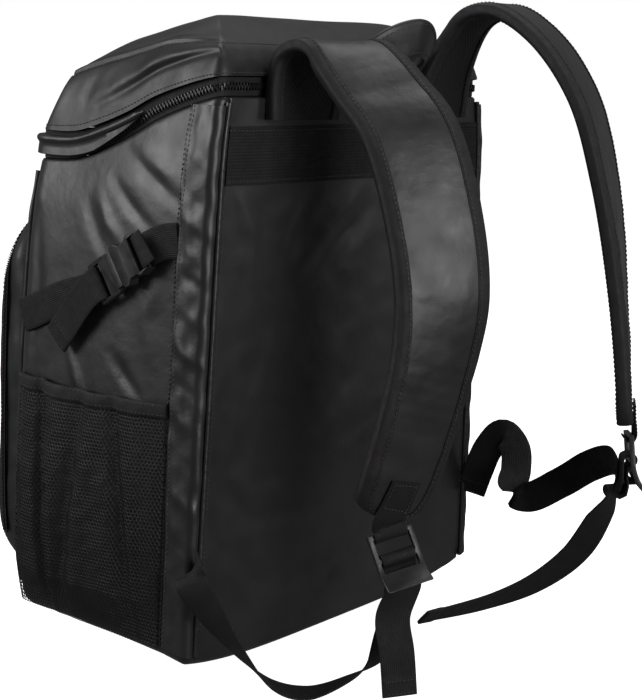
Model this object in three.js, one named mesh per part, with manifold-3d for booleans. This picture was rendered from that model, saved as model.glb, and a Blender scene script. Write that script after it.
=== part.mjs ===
// Cooler backpack: an insulated tub with a zipped domed lid, a bulging front pocket, two mesh side
// pockets, fastened compression straps, two padded shoulder straps and a grab handle that it hangs by.
// Millimetres, +Z up, +Y out of the back that is worn, -Y to the front pocket. The origin is the
// underside of the grab handle at its middle, where a hook carries the bag.

import * as THREE from 'three';
import { mergeVertices } from 'three/addons/utils/BufferGeometryUtils.js';
import Module from 'manifold-3d';

const wasm = await Module();
wasm.setup();

// Main form
const BAG_WIDTH = 344;
const BODY_DEPTH = 192;
const BODY_HEIGHT = 394;
const FRONT_DROP = 56;
const FRONT_CORNER = 18;
const BACK_CORNER = 8;
const SIDE_BULGE = 6;
const FRONT_BULGE = 6;
const WALL = 7;
const LEAN = 5;
const SEAM_GAP = 0.3;
const FOLD_RISE = 4;
const FOLD_WIDTH = 16;

// Back panel, side gussets and their seams
const BACK_PAD = 5;
const GUSSET_WIDTH = 26;
const GUSSET_CLOTH = 1.7;
const PIPING_RADIUS = 2.4;
const PIPING_TURN = 75;
const BAND_HEIGHT = 40;
const BAND_BELOW_RIM = 22;

// Lid and its zip
const LID_HEIGHT = 48;
const LID_WALL = 4;
const LID_DOME = 8;
const LID_OVERHANG = 1.5;
const LID_SETBACK = 4;
const LID_RAKE = 12;
const ZIP_BAND_BACK = 13;
const ZIP_BAND_FRONT = 22;
const ZIP_CLOTH = 1.6;
const ZIP_TEETH = 6;
const ZIP_INSET = 2;
const WELT_RADIUS = 3;
const SLIDER_LENGTH = 12;

// Front pocket
const POCKET_WIDTH = 282;
const POCKET_DEPTH = 60;
const POCKET_HEIGHT = 320;
const POCKET_WALL = 2;
const POCKET_FOOT = 5;

// Mesh side pockets
const MESH_HEIGHT = 168;
const MESH_CLOTH = 1.2;
const MESH_BULGE = 13;
const MESH_LIFT = 0.9;
const HEM_HEIGHT = 10;
const HEM_CLOTH = 2.4;

// Webbing and its hardware
const WEBBING_WIDTH = 25;
const WEBBING = 1.5;
const BUCKLE_LENGTH = 54;
const BUCKLE_WIDTH = 32;
const BUCKLE_THICK = 9;
const BUCKLE_SLOPE = 34;
const BUCKLE_STANDOFF = 7.6;
const BUCKLE_BAR = 3.5;
const LOCK_LENGTH = 42;
const LOCK_WIDTH = 34;
const LOCK_THICK = 3.6;

// Shoulder straps and handle
const STRAP_WIDTH = 68;
const STRAP_PAD = 6.4;
const STRAP_AIR_MESH = 4.4;
const BINDING = 2.6;
const HANDLE_WIDTH = 28;
const HANDLE_THICK = 6;

// Half width of the body at each level, as shares of half the bag's width
const WIDTHS = [
  { level: 0, half: 1 },
  { level: 0.27, half: 0.981 },
  { level: 0.47, half: 0.967 },
  { level: 0.73, half: 0.951 },
  { level: 0.9, half: 0.935 },
  { level: 1, half: 0.905 },
];

// Fall of the body's rim from the back to the front, as shares of the body's depth and front drop
const RIM = [
  { forward: 0, drop: 0 },
  { forward: 0.11, drop: 0.09 },
  { forward: 0.22, drop: 0.21 },
  { forward: 0.35, drop: 0.38 },
  { forward: 0.47, drop: 0.59 },
  { forward: 0.61, drop: 0.79 },
  { forward: 0.76, drop: 0.95 },
  { forward: 1, drop: 1 },
];

// Height of the lid's side wall along its depth, as shares of the lid's height
const LID_WALLS = [
  { forward: 0, rise: 0.46 },
  { forward: 0.17, rise: 0.61 },
  { forward: 0.44, rise: 0.88 },
  { forward: 0.6, rise: 0.97 },
  { forward: 0.74, rise: 1.01 },
  { forward: 0.88, rise: 0.94 },
  { forward: 1, rise: 0.8 },
];

// Rings of the lid from its edge to its crown: how far in, how far up the wall, how far up the dome
const LID_RINGS = [
  { inset: 0, wall: 0, dome: 0 },
  { inset: 0.01, wall: 0.25, dome: 0 },
  { inset: 0.03, wall: 0.55, dome: 0 },
  { inset: 0.06, wall: 0.85, dome: 0 },
  { inset: 0.1, wall: 1, dome: 0.1 },
  { inset: 0.18, wall: 1, dome: 0.5 },
  { inset: 0.32, wall: 1, dome: 0.85 },
  { inset: 0.47, wall: 1, dome: 1 },
];

// Rings of the front pocket from the body outwards, as shares of its depth, half width and height
const POCKET_RINGS = [
  { out: 0, half: 1, low: 0, high: 1 },
  { out: 0.14, half: 1, low: 0, high: 0.985 },
  { out: 0.5, half: 0.995, low: 0, high: 0.945 },
  { out: 0.78, half: 0.965, low: 0.015, high: 0.865 },
  { out: 0.9, half: 0.91, low: 0.06, high: 0.78 },
  { out: 0.97, half: 0.77, low: 0.15, high: 0.67 },
  { out: 1, half: 0.5, low: 0.28, high: 0.56 },
];

// Folds of the side panels: ridges and valleys between two places, as shares of depth and height
const SIDE_FOLDS = [
  { y0: 0.47, z0: 0.89, y1: 0.18, z1: 0.81, width: 1, rise: -0.8 },
  { y0: 0.5, z0: 0.86, y1: 0.34, z1: 0.8, width: 0.9, rise: 0.7 },
  { y0: 0.59, z0: 0.8, y1: 0.44, z1: 0.7, width: 0.8, rise: -0.7 },
  { y0: 0.7, z0: 0.5, y1: 0.64, z1: 0.46, width: 0.7, rise: 0.5 },
];

// Folds of the back panel, read from its middle: shares of half the width and of the height
const BACK_FOLDS = [
  { y0: 0, z0: 0.8, y1: 0.42, z1: 0.68, width: 1.1, rise: 0.5 },
  { y0: 0.3, z0: 0.72, y1: 0.7, z1: 0.56, width: 1.2, rise: -0.45 },
  { y0: 0.94, z0: 0.3, y1: 0.66, z1: 0.22, width: 0.9, rise: -0.5 },
  { y0: 0.66, z0: 0.22, y1: 0.2, z1: 0.22, width: 1.1, rise: -0.35 },
  { y0: -0.2, z0: 0.55, y1: 0.35, z1: 0.4, width: 1.4, rise: 0.35 },
];

// Wrinkles across each gusset, as shares of the body's height
const GUSSET_FOLDS = [
  { up: 0.79, rise: 0.7 },
  { up: 0.69, rise: -0.5 },
  { up: 0.56, rise: 0.8 },
  { up: 0.5, rise: -0.5 },
  { up: 0.3, rise: 0.5 },
];

// Upright folds of each mesh pocket, as shares of its length
const MESH_FOLDS = [
  { along: 0.2, width: 0.05, rise: -0.6 },
  { along: 0.36, width: 0.07, rise: 0.25 },
  { along: 0.52, width: 0.06, rise: -0.35 },
  { along: 0.72, width: 0.06, rise: -0.4 },
  { along: 0.86, width: 0.05, rise: 0.2 },
];

// Middle line of the shoulder strap on each side: shares of half the width, the depth out from the
// back and the height, with the turn of its width in degrees
const STRAP_RIGHT = [
  { across: 0.475, back: 0.037, up: 0.956, turn: 0 },
  { across: 0.471, back: 0.056, up: 1.015, turn: 8 },
  { across: 0.468, back: 0.12, up: 1.082, turn: 22 },
  { across: 0.468, back: 0.235, up: 1.103, turn: 33 },
  { across: 0.471, back: 0.432, up: 1.018, turn: 38 },
  { across: 0.475, back: 0.545, up: 0.944, turn: 38 },
  { across: 0.482, back: 0.67, up: 0.788, turn: 34 },
  { across: 0.485, back: 0.706, up: 0.67, turn: 29 },
  { across: 0.488, back: 0.695, up: 0.583, turn: 22 },
  { across: 0.497, back: 0.661, up: 0.494, turn: 18 },
  { across: 0.505, back: 0.589, up: 0.361, turn: 20 },
  { across: 0.514, back: 0.525, up: 0.278, turn: 28 },
];

const STRAP_LEFT = [
  { across: -0.478, back: 0.037, up: 0.956, turn: 0 },
  { across: -0.469, back: 0.083, up: 1.053, turn: -6 },
  { across: -0.467, back: 0.198, up: 1.142, turn: -14 },
  { across: -0.466, back: 0.354, up: 1.168, turn: -20 },
  { across: -0.473, back: 0.542, up: 1.114, turn: -25 },
  { across: -0.483, back: 0.74, up: 0.987, turn: -28 },
  { across: -0.493, back: 0.849, up: 0.832, turn: -30 },
  { across: -0.505, back: 0.922, up: 0.642, turn: -33 },
  { across: -0.521, back: 0.958, up: 0.47, turn: -35 },
  { across: -0.53, back: 0.964, up: 0.411, turn: -36 },
];

// Half width of a shoulder strap along its length, as shares of its full half width
const STRAP_TAPER = [
  { along: 0, half: 1 },
  { along: 0.8, half: 1 },
  { along: 0.9, half: 0.93 },
  { along: 0.96, half: 0.75 },
  { along: 1, half: 0.4 },
];

// Place of each ladder lock, in the straps' shares, with the way down it and the way across it
const LOCK_RIGHT = { across: 0.513, back: 0.6, up: 0.205, down: [0.05, 0.5, -0.86], side: [0.8, -0.6, 0] };
const LOCK_LEFT = { across: -0.54, back: 0.995, up: 0.342, down: [0, 0.15, -0.99], side: [0.8, 0.6, 0] };

// Route of each adjuster from the bag's lower corner to its ladder lock: the straps' shares, with
// the direction of the webbing's width in ax, ay, az
const ADJUSTER_RIGHT = [
  { across: 0.989, back: 0.022, up: 0.183, ax: 0, ay: 0, az: 1 },
  { across: 1.06, back: 0.04, up: 0.16, ax: -0.4, ay: 0.9, az: 0.6 },
  { across: 1.033, back: 0.104, up: 0.112, ax: -0.1, ay: 1, az: 0.5 },
  { across: 0.937, back: 0.198, up: 0.041, ax: 0.4, ay: 0.9, az: 0.3 },
  { across: 0.831, back: 0.292, up: -0.02, ax: 0.75, ay: 0.65, az: 0.1 },
  { across: 0.715, back: 0.385, up: -0.046, ax: 0.85, ay: 0.5, az: 0 },
  { across: 0.599, back: 0.47, up: -0.015, ax: 1, ay: 0.2, az: 0 },
  { across: 0.53, back: 0.54, up: 0.07, ax: 0.9, ay: -0.4, az: 0 },
];

const ADJUSTER_LEFT = [
  { across: -1.02, back: 0.016, up: 0.152, ax: 0.5, ay: 0.2, az: 0.6 },
  { across: -0.99, back: 0.063, up: 0.213, ax: 0.3, ay: 0.4, az: 0.7 },
  { across: -0.95, back: 0.167, up: 0.287, ax: 0.5, ay: 0.8, az: 0.2 },
  { across: -0.89, back: 0.24, up: 0.274, ax: 0.3, ay: 0.9, az: 0.2 },
  { across: -0.86, back: 0.313, up: 0.195, ax: 0.2, ay: 0.9, az: 0.4 },
  { across: -0.84, back: 0.375, up: 0.168, ax: 0, ay: 0.3, az: 1 },
  { across: -0.76, back: 0.51, up: 0.195, ax: 0, ay: -0.2, az: 1 },
  { across: -0.66, back: 0.7, up: 0.25, ax: 0, ay: -0.3, az: 1 },
  { across: -0.6, back: 0.83, up: 0.275, ax: 0.6, ay: 0.3, az: 0.5 },
];

// Free tails below the ladder locks, in the same columns
const TAIL_RIGHT = [
  { across: 0.53, back: 0.6, up: 0.1, ax: 0.75, ay: -0.66, az: 0 },
  { across: 0.535, back: 0.63, up: 0.04, ax: 0.75, ay: -0.66, az: 0 },
  { across: 0.53, back: 0.65, up: -0.038, ax: 0.75, ay: -0.66, az: 0 },
];

const TAIL_LEFT = [
  { across: -0.535, back: 0.9, up: 0.24, ax: 0.8, ay: 0.5, az: 0.2 },
  { across: -0.53, back: 0.83, up: 0.175, ax: 0.6, ay: 0.3, az: 0.5 },
  { across: -0.44, back: 0.68, up: 0.081, ax: 0.3, ay: 0.2, az: 0.9 },
  { across: -0.26, back: 0.5, up: 0.02, ax: 0, ay: 0.2, az: 1 },
  { across: -0.03, back: 0.333, up: 0.003, ax: 0, ay: 0.2, az: 1 },
];

// Middle line of the grab handle from its root to the middle, mirrored for the other half
const HANDLE = [
  { across: 0.165, back: 0.018, up: 0.985, ax: 1, az: 0 },
  { across: 0.175, back: 0.07, up: 1.035, ax: 1, az: 0.3 },
  { across: 0.17, back: 0.156, up: 1.076, ax: 0.8, az: 0.7 },
  { across: 0.093, back: 0.214, up: 1.099, ax: 0.3, az: 1 },
  { across: 0, back: 0.234, up: 1.107, ax: 0, az: 1 },
];

// Derived places
const HALF = BAG_WIDTH / 2;
const BACK = 0.479 * BODY_DEPTH;
const FRONT = BACK - BODY_DEPTH;
const MIDDLE = (BACK + FRONT) / 2;
const TUB_BACK = BACK - BACK_PAD - SEAM_GAP;
const SEAM_Y = TUB_BACK - GUSSET_WIDTH + 2;
const BAND_HIGH = BODY_HEIGHT - BAND_BELOW_RIM;
const BAND_LOW = BAND_HIGH - BAND_HEIGHT;
const HINGE_SHARE = 0.71;
const BACK_STEPS = 2;
const CORNER_STEPS = 3;
const SIDE_STEPS = 9;
const FRONT_STEPS = 5;
const HINGE_STEPS = 3;
const OPEN_COUNT = 2 * BACK_STEPS + 4 * CORNER_STEPS + 2 * SIDE_STEPS + FRONT_STEPS + 1;
const HOOK = HANDLE.at(-1);

const cloth = (color, roughness) => new THREE.MeshStandardMaterial({ color, roughness, metalness: 0 });
const COATED = cloth('#1b1b1c', 0.45);
const LID_CLOTH = cloth('#19191b', 0.48);
const WEB = cloth('#0d0d0e', 0.8);
const TAPE = cloth('#171416', 0.75);
const NET = cloth('#121213', 0.85);
const PLASTIC = cloth('#111112', 0.4);

const mix = (a, b, share) => a + (b - a) * share;
const clamp = (value, low = 0, high = 1) => Math.min(Math.max(value, low), high);

// Cubic through a table's rows, flat past its ends
function smooth(rows, key, column, at) {
  const last = rows.length - 1;
  if (at <= rows[0][key]) return rows[0][column];
  if (at >= rows[last][key]) return rows[last][column];
  const slope = (i) => {
    const before = rows[Math.max(i - 1, 0)];
    const after = rows[Math.min(i + 1, last)];
    return (after[column] - before[column]) / (after[key] - before[key]);
  };
  const i = rows.findIndex((row) => row[key] > at) - 1;
  const span = rows[i + 1][key] - rows[i][key];
  const t = (at - rows[i][key]) / span;
  const rise = rows[i + 1][column] - rows[i][column];
  const bend = (1 - t) * (slope(i) * span - rise) + t * (rise - slope(i + 1) * span);
  return rows[i][column] + t * rise + t * (1 - t) * bend;
}

// Height of a fold pattern at a place: each row is a soft ridge along a segment
function relief(folds, a, b, lengthA, lengthB) {
  let height = 0;
  for (const fold of folds) {
    const from = new THREE.Vector2(fold.y0 * lengthA, fold.z0 * lengthB);
    const run = new THREE.Vector2(fold.y1 * lengthA, fold.z1 * lengthB).sub(from);
    const spot = new THREE.Vector2(a, b).sub(from);
    const along = clamp(spot.dot(run) / run.lengthSq());
    const away = spot.addScaledVector(run, -along).length() / (fold.width * FOLD_WIDTH);
    height += fold.rise * FOLD_RISE * Math.exp(-away * away);
  }
  return height;
}

// Closed body from points and triangles, turned so that its faces point out
function closed(points, faces) {
  let volume = 0;
  for (let i = 0; i < faces.length; i += 3) {
    const [a, b, c] = [points[faces[i]], points[faces[i + 1]], points[faces[i + 2]]];
    volume += a.dot(b.clone().cross(c));
  }
  if (volume < 0) faces.reverse();
  const geometry = new THREE.BufferGeometry().setFromPoints(points);
  geometry.setIndex(faces);
  geometry.computeVertexNormals();
  return geometry;
}

// Body through closed rings of equal length, capped at both ends
function skin(rings) {
  const count = rings[0].length;
  const points = rings.flat();
  const faces = [];
  const cap = (start, flip) => {
    const centre = new THREE.Vector3();
    for (let k = 0; k < count; k += 1) centre.addScaledVector(points[start + k], 1 / count);
    points.push(centre);
    for (let k = 0; k < count; k += 1) {
      const edge = [start + k, start + ((k + 1) % count)];
      faces.push(points.length - 1, ...(flip ? edge.reverse() : edge));
    }
  };
  for (let r = 0; r + 1 < rings.length; r += 1) {
    for (let k = 0; k < count; k += 1) {
      const a = r * count + k;
      const b = r * count + ((k + 1) % count);
      faces.push(a, b, b + count, a, b + count, a + count);
    }
  }
  cap(0, true);
  cap((rings.length - 1) * count, false);
  return closed(points, faces);
}

// Sheet with a front and a back grid of points and a strip round its edge
function slab(front, back) {
  const rows = front.length;
  const columns = front[0].length;
  const points = [...front.flat(), ...back.flat()];
  const at = (side, i, j) => (side * rows + i) * columns + j;
  const faces = [];
  const quad = (a, b, c, d) => faces.push(a, b, c, a, c, d);
  const bottom = rows - 1;
  const right = columns - 1;
  for (let i = 0; i < bottom; i += 1) {
    for (let j = 0; j < right; j += 1) {
      quad(at(0, i, j), at(0, i + 1, j), at(0, i + 1, j + 1), at(0, i, j + 1));
      quad(at(1, i, j), at(1, i, j + 1), at(1, i + 1, j + 1), at(1, i + 1, j));
    }
    quad(at(0, i, 0), at(1, i, 0), at(1, i + 1, 0), at(0, i + 1, 0));
    quad(at(0, i, right), at(0, i + 1, right), at(1, i + 1, right), at(1, i, right));
  }
  for (let j = 0; j < right; j += 1) {
    quad(at(0, 0, j), at(0, 0, j + 1), at(1, 0, j + 1), at(1, 0, j));
    quad(at(0, bottom, j), at(1, bottom, j), at(1, bottom, j + 1), at(0, bottom, j + 1));
  }
  return closed(points, faces);
}

// Grid of points from two lists of parameters
const grid = (us, vs, place) => us.map((u) => vs.map((v) => place(u, v)));
const steps = (count, from = 0, to = 1) => {
  return Array.from({ length: count + 1 }, (_, k) => mix(from, to, k / count));
};

// Stations along a route: place, way across and way out, from rows of points and width directions
function stations(points, across, count, firstWay) {
  const route = new THREE.CatmullRomCurve3(points, false, 'centripetal');
  const widths = new THREE.CatmullRomCurve3(across, false, 'catmullrom', 0.5);
  return steps(count).map((t) => {
    const at = route.getPoint(t);
    const way = firstWay && t === 0 ? firstWay : route.getTangent(t);
    const side = widths.getPoint(t);
    side.addScaledVector(way, -side.dot(way)).normalize();
    return { t, at, side, out: side.clone().cross(way).normalize() };
  });
}

// Body that carries a section of across and out lengths along stations
function sweep(places, section) {
  return skin(places.map((place) => section(place).map(([across, out]) => {
    return place.at.clone().addScaledVector(place.side, across).addScaledVector(place.out, out);
  })));
}

const tapeSection = (width, thick) => () => {
  const [wide, high] = [width / 2, thick / 2];
  return [[-wide, -high], [wide, -high], [wide, high], [-wide, high]];
};

const roundSection = (radius, sides) => () => {
  const angles = steps(sides - 1, 0, 2 * Math.PI * (1 - 1 / sides));
  return angles.map((angle) => [radius * Math.cos(angle), radius * Math.sin(angle)]);
};

const webbing = (points, across, count) => {
  return sweep(stations(points, across, count), tapeSection(WEBBING_WIDTH, WEBBING));
};

// Copy on the other side of the bag's middle plane
function mirrored(geometry) {
  const copy = geometry.clone().scale(-1, 1, 1);
  copy.setIndex(Array.from(copy.index.array).reverse());
  copy.computeVertexNormals();
  return copy;
}

// Merged solid of a closed geometry, and back
function solid(geometry) {
  const bare = geometry.clone();
  bare.deleteAttribute('normal');
  bare.deleteAttribute('uv');
  const merged = mergeVertices(bare, 1e-4);
  return new wasm.Manifold(new wasm.Mesh({
    numProp: 3,
    vertProperties: new Float32Array(merged.attributes.position.array),
    triVerts: new Uint32Array(merged.index.array),
  }));
}

function geometryOf(manifold) {
  const mesh = manifold.getMesh();
  const geometry = new THREE.BufferGeometry();
  geometry.setAttribute('position', new THREE.Float32BufferAttribute(mesh.vertProperties, 3));
  geometry.setIndex(Array.from(mesh.triVerts));
  geometry.computeVertexNormals();
  return geometry;
}

// Box between two corners
function block(x0, x1, y0, y1, z0, z1) {
  const box = new THREE.BoxGeometry(x1 - x0, y1 - y0, z1 - z0);
  return box.translate((x0 + x1) / 2, (y0 + y1) / 2, (z0 + z1) / 2);
}

// The body's surface
const rim = (y) => BODY_HEIGHT - FRONT_DROP * smooth(RIM, 'forward', 'drop', (BACK - y) / BODY_DEPTH);
const halfAt = (level) => HALF * smooth(WIDTHS, 'level', 'half', level);
const belly = (level) => Math.sin(Math.PI * clamp(level)) ** 0.8;
const frontAt = (level) => FRONT - FRONT_BULGE * belly(level);
const sideSwell = (y, level) => SIDE_BULGE * belly(level) * (1 - ((y - MIDDLE) / (BODY_DEPTH / 2)) ** 2);

// Rounded outline seen from above, anticlockwise from the hinge's left end to its right end and back
function outline({ half, front, back, frontCorner, backCorner }, inset = 0) {
  const x = half - inset;
  const low = front + inset;
  const high = back - inset;
  const rf = Math.max(frontCorner - inset, 3);
  const rb = Math.max(backCorner - inset, 2);
  const hinge = HINGE_SHARE * x;
  const loop = [];
  const line = (x0, y0, x1, y1, count, nx, ny) => {
    for (let k = 0; k < count; k += 1) {
      loop.push({ x: mix(x0, x1, k / count), y: mix(y0, y1, k / count), nx, ny });
    }
  };
  const arc = (cx, cy, radius, quarter) => {
    for (let k = 0; k < CORNER_STEPS; k += 1) {
      const angle = (quarter + k / CORNER_STEPS) * Math.PI / 2;
      const [nx, ny] = [Math.cos(angle), Math.sin(angle)];
      loop.push({ x: cx + radius * nx, y: cy + radius * ny, nx, ny });
    }
  };
  line(-hinge, high, rb - x, high, BACK_STEPS, 0, 1);
  arc(rb - x, high - rb, rb, 1);
  line(-x, high - rb, -x, low + rf, SIDE_STEPS, -1, 0);
  arc(rf - x, low + rf, rf, 2);
  line(rf - x, low, x - rf, low, FRONT_STEPS, 0, -1);
  arc(x - rf, low + rf, rf, 3);
  line(x, low + rf, x, high - rb, SIDE_STEPS, 1, 0);
  arc(x - rb, high - rb, rb, 0);
  line(x - rb, high, hinge, high, BACK_STEPS, 0, 1);
  line(hinge, high, -hinge, high, HINGE_STEPS, 0, 1);
  return loop;
}

const bodyShape = (level) => ({
  half: halfAt(level),
  front: frontAt(level),
  back: TUB_BACK,
  frontCorner: FRONT_CORNER,
  backCorner: BACK_CORNER,
});

// Ring of the tub at a level of its height, with or without the cloth's folds
function bodyRing(level, inset, folded, flatHeight) {
  return outline(bodyShape(level), inset).map(({ x, y, nx, ny }) => {
    const z = flatHeight ?? level * rim(y);
    const forward = BACK - y;
    const fold = folded ? relief(SIDE_FOLDS, forward, z, BODY_DEPTH, BODY_HEIGHT) : 0;
    const swell = Math.abs(nx) * (sideSwell(y, level) + fold);
    return new THREE.Vector3(x + Math.sign(nx) * swell, y, z);
  });
}

// Place on the right side of the body at a depth and height, and the way out of it there
function sideFoot(y, z) {
  const level = z / rim(y);
  const turn = clamp((frontAt(level) + FRONT_CORNER - y) / FRONT_CORNER, 0, 0.98);
  const nx = Math.sqrt(1 - turn * turn);
  const x = halfAt(level) - FRONT_CORNER * (1 - nx) + sideSwell(y, level) * nx;
  return { at: new THREE.Vector3(x, y, z), out: new THREE.Vector3(nx, -turn, 0) };
}

function onSide(y, z, lift) {
  const foot = sideFoot(y, z);
  return foot.at.addScaledVector(foot.out, lift);
}

function bodyShell() {
  const levels = [0.03, 0.1, 0.18, 0.26, 0.34, 0.42, 0.5, 0.57, 0.64, 0.71, 0.78, 0.85, 0.92, 1];
  const insideLevels = [1, 0.7, 0.35];
  return skin([
    bodyRing(0, 7, false, 0),
    bodyRing(0, 2, false, 3),
    ...levels.map((level) => bodyRing(level, 0, true)),
    ...insideLevels.map((level) => bodyRing(level, WALL, false)),
    bodyRing(0.03, WALL + 1, false, WALL + 6),
    bodyRing(0.02, WALL + 6, false, WALL),
  ]);
}

// Piping runs up the back of the rounded corner, turned round it from the side, beside the panel
const pipingReach = BACK_CORNER + SEAM_GAP + 0.2 + PIPING_RADIUS;
const PIPING_INSET = BACK_CORNER - pipingReach * Math.cos(THREE.MathUtils.degToRad(PIPING_TURN));
const PIPING_Y = TUB_BACK - BACK_CORNER + pipingReach * Math.sin(THREE.MathUtils.degToRad(PIPING_TURN));
function backPiping() {
  const points = steps(10, 8, BODY_HEIGHT - 6).map((z) => {
    return new THREE.Vector3(halfAt(z / rim(BACK)) - PIPING_INSET, PIPING_Y, z);
  });
  const across = points.map(() => new THREE.Vector3(1, 0, 0));
  return sweep(stations(points, across, 10), roundSection(PIPING_RADIUS, 5));
}

// Back panel
const panelHalf = (z) => halfAt(z / BODY_HEIGHT) - PIPING_INSET - PIPING_RADIUS - SEAM_GAP;
const PANEL_ACROSS = [-1, -0.95, -0.75, -0.5, -0.25, 0, 0.25, 0.42, 0.58, 0.75, 0.95, 1];
const panelFace = (share, z) => {
  const edge = 1 - 0.5 * Math.abs(share) ** 14;
  const calm = clamp((BAND_LOW - z) / FOLD_WIDTH);
  const fold = relief(BACK_FOLDS, share * HALF, z, HALF, BODY_HEIGHT);
  return TUB_BACK + SEAM_GAP + BACK_PAD * edge + fold * calm * (1 - Math.abs(share) ** 8) * 0.6;
};

function backPanel() {
  const low = 6;
  const high = BODY_HEIGHT - 3;
  const heights = [...steps(8, low, BAND_LOW - FOLD_WIDTH), BAND_LOW, BAND_HIGH, high];
  const front = grid(PANEL_ACROSS, heights, (s, z) => {
    return new THREE.Vector3(s * panelHalf(z), panelFace(s, z), z);
  });
  const back = grid(PANEL_ACROSS, heights, (s, z) => {
    return new THREE.Vector3(s * panelHalf(z), TUB_BACK + SEAM_GAP, z);
  });
  return slab(front, back);
}

function webbingBand() {
  const heights = steps(2, BAND_LOW, BAND_HIGH);
  const layer = (lift) => grid(PANEL_ACROSS, heights, (s, z) => {
    return new THREE.Vector3(s * (panelHalf(z) - 1), panelFace(s, BAND_HIGH) + lift, z);
  });
  return slab(layer(SEAM_GAP + WEBBING), layer(SEAM_GAP));
}

function gusset() {
  const high = PIPING_Y - PIPING_RADIUS - 0.4;
  const wrinkle = (u, level) => {
    let rise = 0;
    for (const fold of GUSSET_FOLDS) {
      rise += fold.rise * Math.exp(-(((level - fold.up + 0.03 * u) * BODY_HEIGHT / 6) ** 2));
    }
    return rise * Math.sin(Math.PI * clamp(u));
  };
  const layer = (lift, worn) => grid(steps(2), steps(16, 0.02, 0.985), (u, level) => {
    const y = mix(SEAM_Y, high, u);
    return onSide(y, level * rim(y), lift + (worn ? Math.max(wrinkle(u, level), -0.8) + 0.4 : 0));
  });
  return slab(layer(SEAM_GAP + 0.2 + GUSSET_CLOTH, true), layer(SEAM_GAP + 0.2, false));
}

function frontBinding() {
  const angle = 1.15;
  const reach = FRONT_CORNER + SEAM_GAP + 0.8 * PIPING_RADIUS;
  const places = steps(10, 0.04, 0.97);
  const points = places.map((level) => {
    const x = halfAt(level) - FRONT_CORNER + reach * Math.cos(angle);
    const y = frontAt(level) + FRONT_CORNER - reach * Math.sin(angle);
    return new THREE.Vector3(x, y, level * rim(y));
  });
  const across = points.map(() => new THREE.Vector3(1, 0, 0));
  return sweep(stations(points, across, 10), roundSection(PIPING_RADIUS, 5));
}

// Lid and zip
const lidSeam = (y) => rim(y) + mix(ZIP_BAND_BACK, ZIP_BAND_FRONT, clamp((BACK - y) / BODY_DEPTH));
const lidShape = {
  half: halfAt(1) + LID_OVERHANG,
  front: FRONT + LID_SETBACK,
  back: TUB_BACK + LID_OVERHANG,
  frontCorner: FRONT_CORNER,
  backCorner: BACK_CORNER + LID_OVERHANG,
};

// The lid's front rakes back as it rises
function lidRing(row, wall) {
  return outline(lidShape, row.inset * HALF + wall).map(({ x, y }) => {
    const forward = (BACK - y) / BODY_DEPTH;
    const rise = LID_HEIGHT * smooth(LID_WALLS, 'forward', 'rise', forward);
    const high = lidSeam(y) + row.wall * rise + row.dome * LID_DOME;
    const rake = LID_RAKE * row.wall * forward ** 8;
    return new THREE.Vector3(x, y + rake, high - wall * clamp(1.2 * row.wall));
  });
}

function lid() {
  const inside = [0, 3, 4, 7].map((k) => lidRing(LID_RINGS[k], LID_WALL)).reverse();
  return skin([...inside, ...LID_RINGS.map((row) => lidRing(row, 0))]);
}

// Strip round the rim, between two depths under the surface and two heights
function rimStrip(from, to, outer, inner, low, high) {
  const layer = (inset) => outline(bodyShape(1), inset).slice(from, to).map(({ x, y }) => {
    return [new THREE.Vector3(x, y, low(y)), new THREE.Vector3(x, y, high(y))];
  });
  return slab(layer(outer), layer(inner));
}

const aboveRim = (y) => rim(y) + SEAM_GAP;
const belowLid = (y) => lidSeam(y) - SEAM_GAP;
const zipTape = () => rimStrip(0, OPEN_COUNT, ZIP_INSET, ZIP_INSET + ZIP_CLOTH, aboveRim, belowLid);
const teethMiddle = (y) => rim(y) + ZIP_BAND_BACK / 2;
const zipTeeth = () => rimStrip(0, OPEN_COUNT, SEAM_GAP, ZIP_INSET - SEAM_GAP,
  (y) => teethMiddle(y) - ZIP_TEETH / 2, (y) => teethMiddle(y) + ZIP_TEETH / 2);

function lidHinge() {
  const layer = (inset) => {
    const loop = outline(bodyShape(1), inset);
    const span = [...loop.slice(OPEN_COUNT - 1), loop[0]];
    return span.map(({ x, y }) => {
      const at = x * 0.99;
      return [new THREE.Vector3(at, y, aboveRim(y)), new THREE.Vector3(at, y, belowLid(y))];
    });
  };
  return slab(layer(ZIP_INSET), layer(ZIP_INSET + ZIP_CLOTH));
}

function lidWelt() {
  const first = BACK_STEPS + CORNER_STEPS + Math.round(SIDE_STEPS * 0.35);
  const loop = outline(bodyShape(1), -LID_OVERHANG).slice(first, OPEN_COUNT - first);
  const points = loop.map(({ x, y }) => new THREE.Vector3(x, y, lidSeam(y) - SEAM_GAP - 0.2 - WELT_RADIUS));
  const across = loop.map(({ nx, ny }) => new THREE.Vector3(nx, ny, 0));
  return sweep(stations(points, across, 26), roundSection(WELT_RADIUS, 5));
}

function zipSlider() {
  const body = solid(block(0, SLIDER_LENGTH, -2.4, 0, -4.5, 4.5));
  const pull = solid(block(3, 7, -3.6, -1.2, -SLIDER_LENGTH * 1.3, 2));
  return geometryOf(body.add(pull));
}

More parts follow.
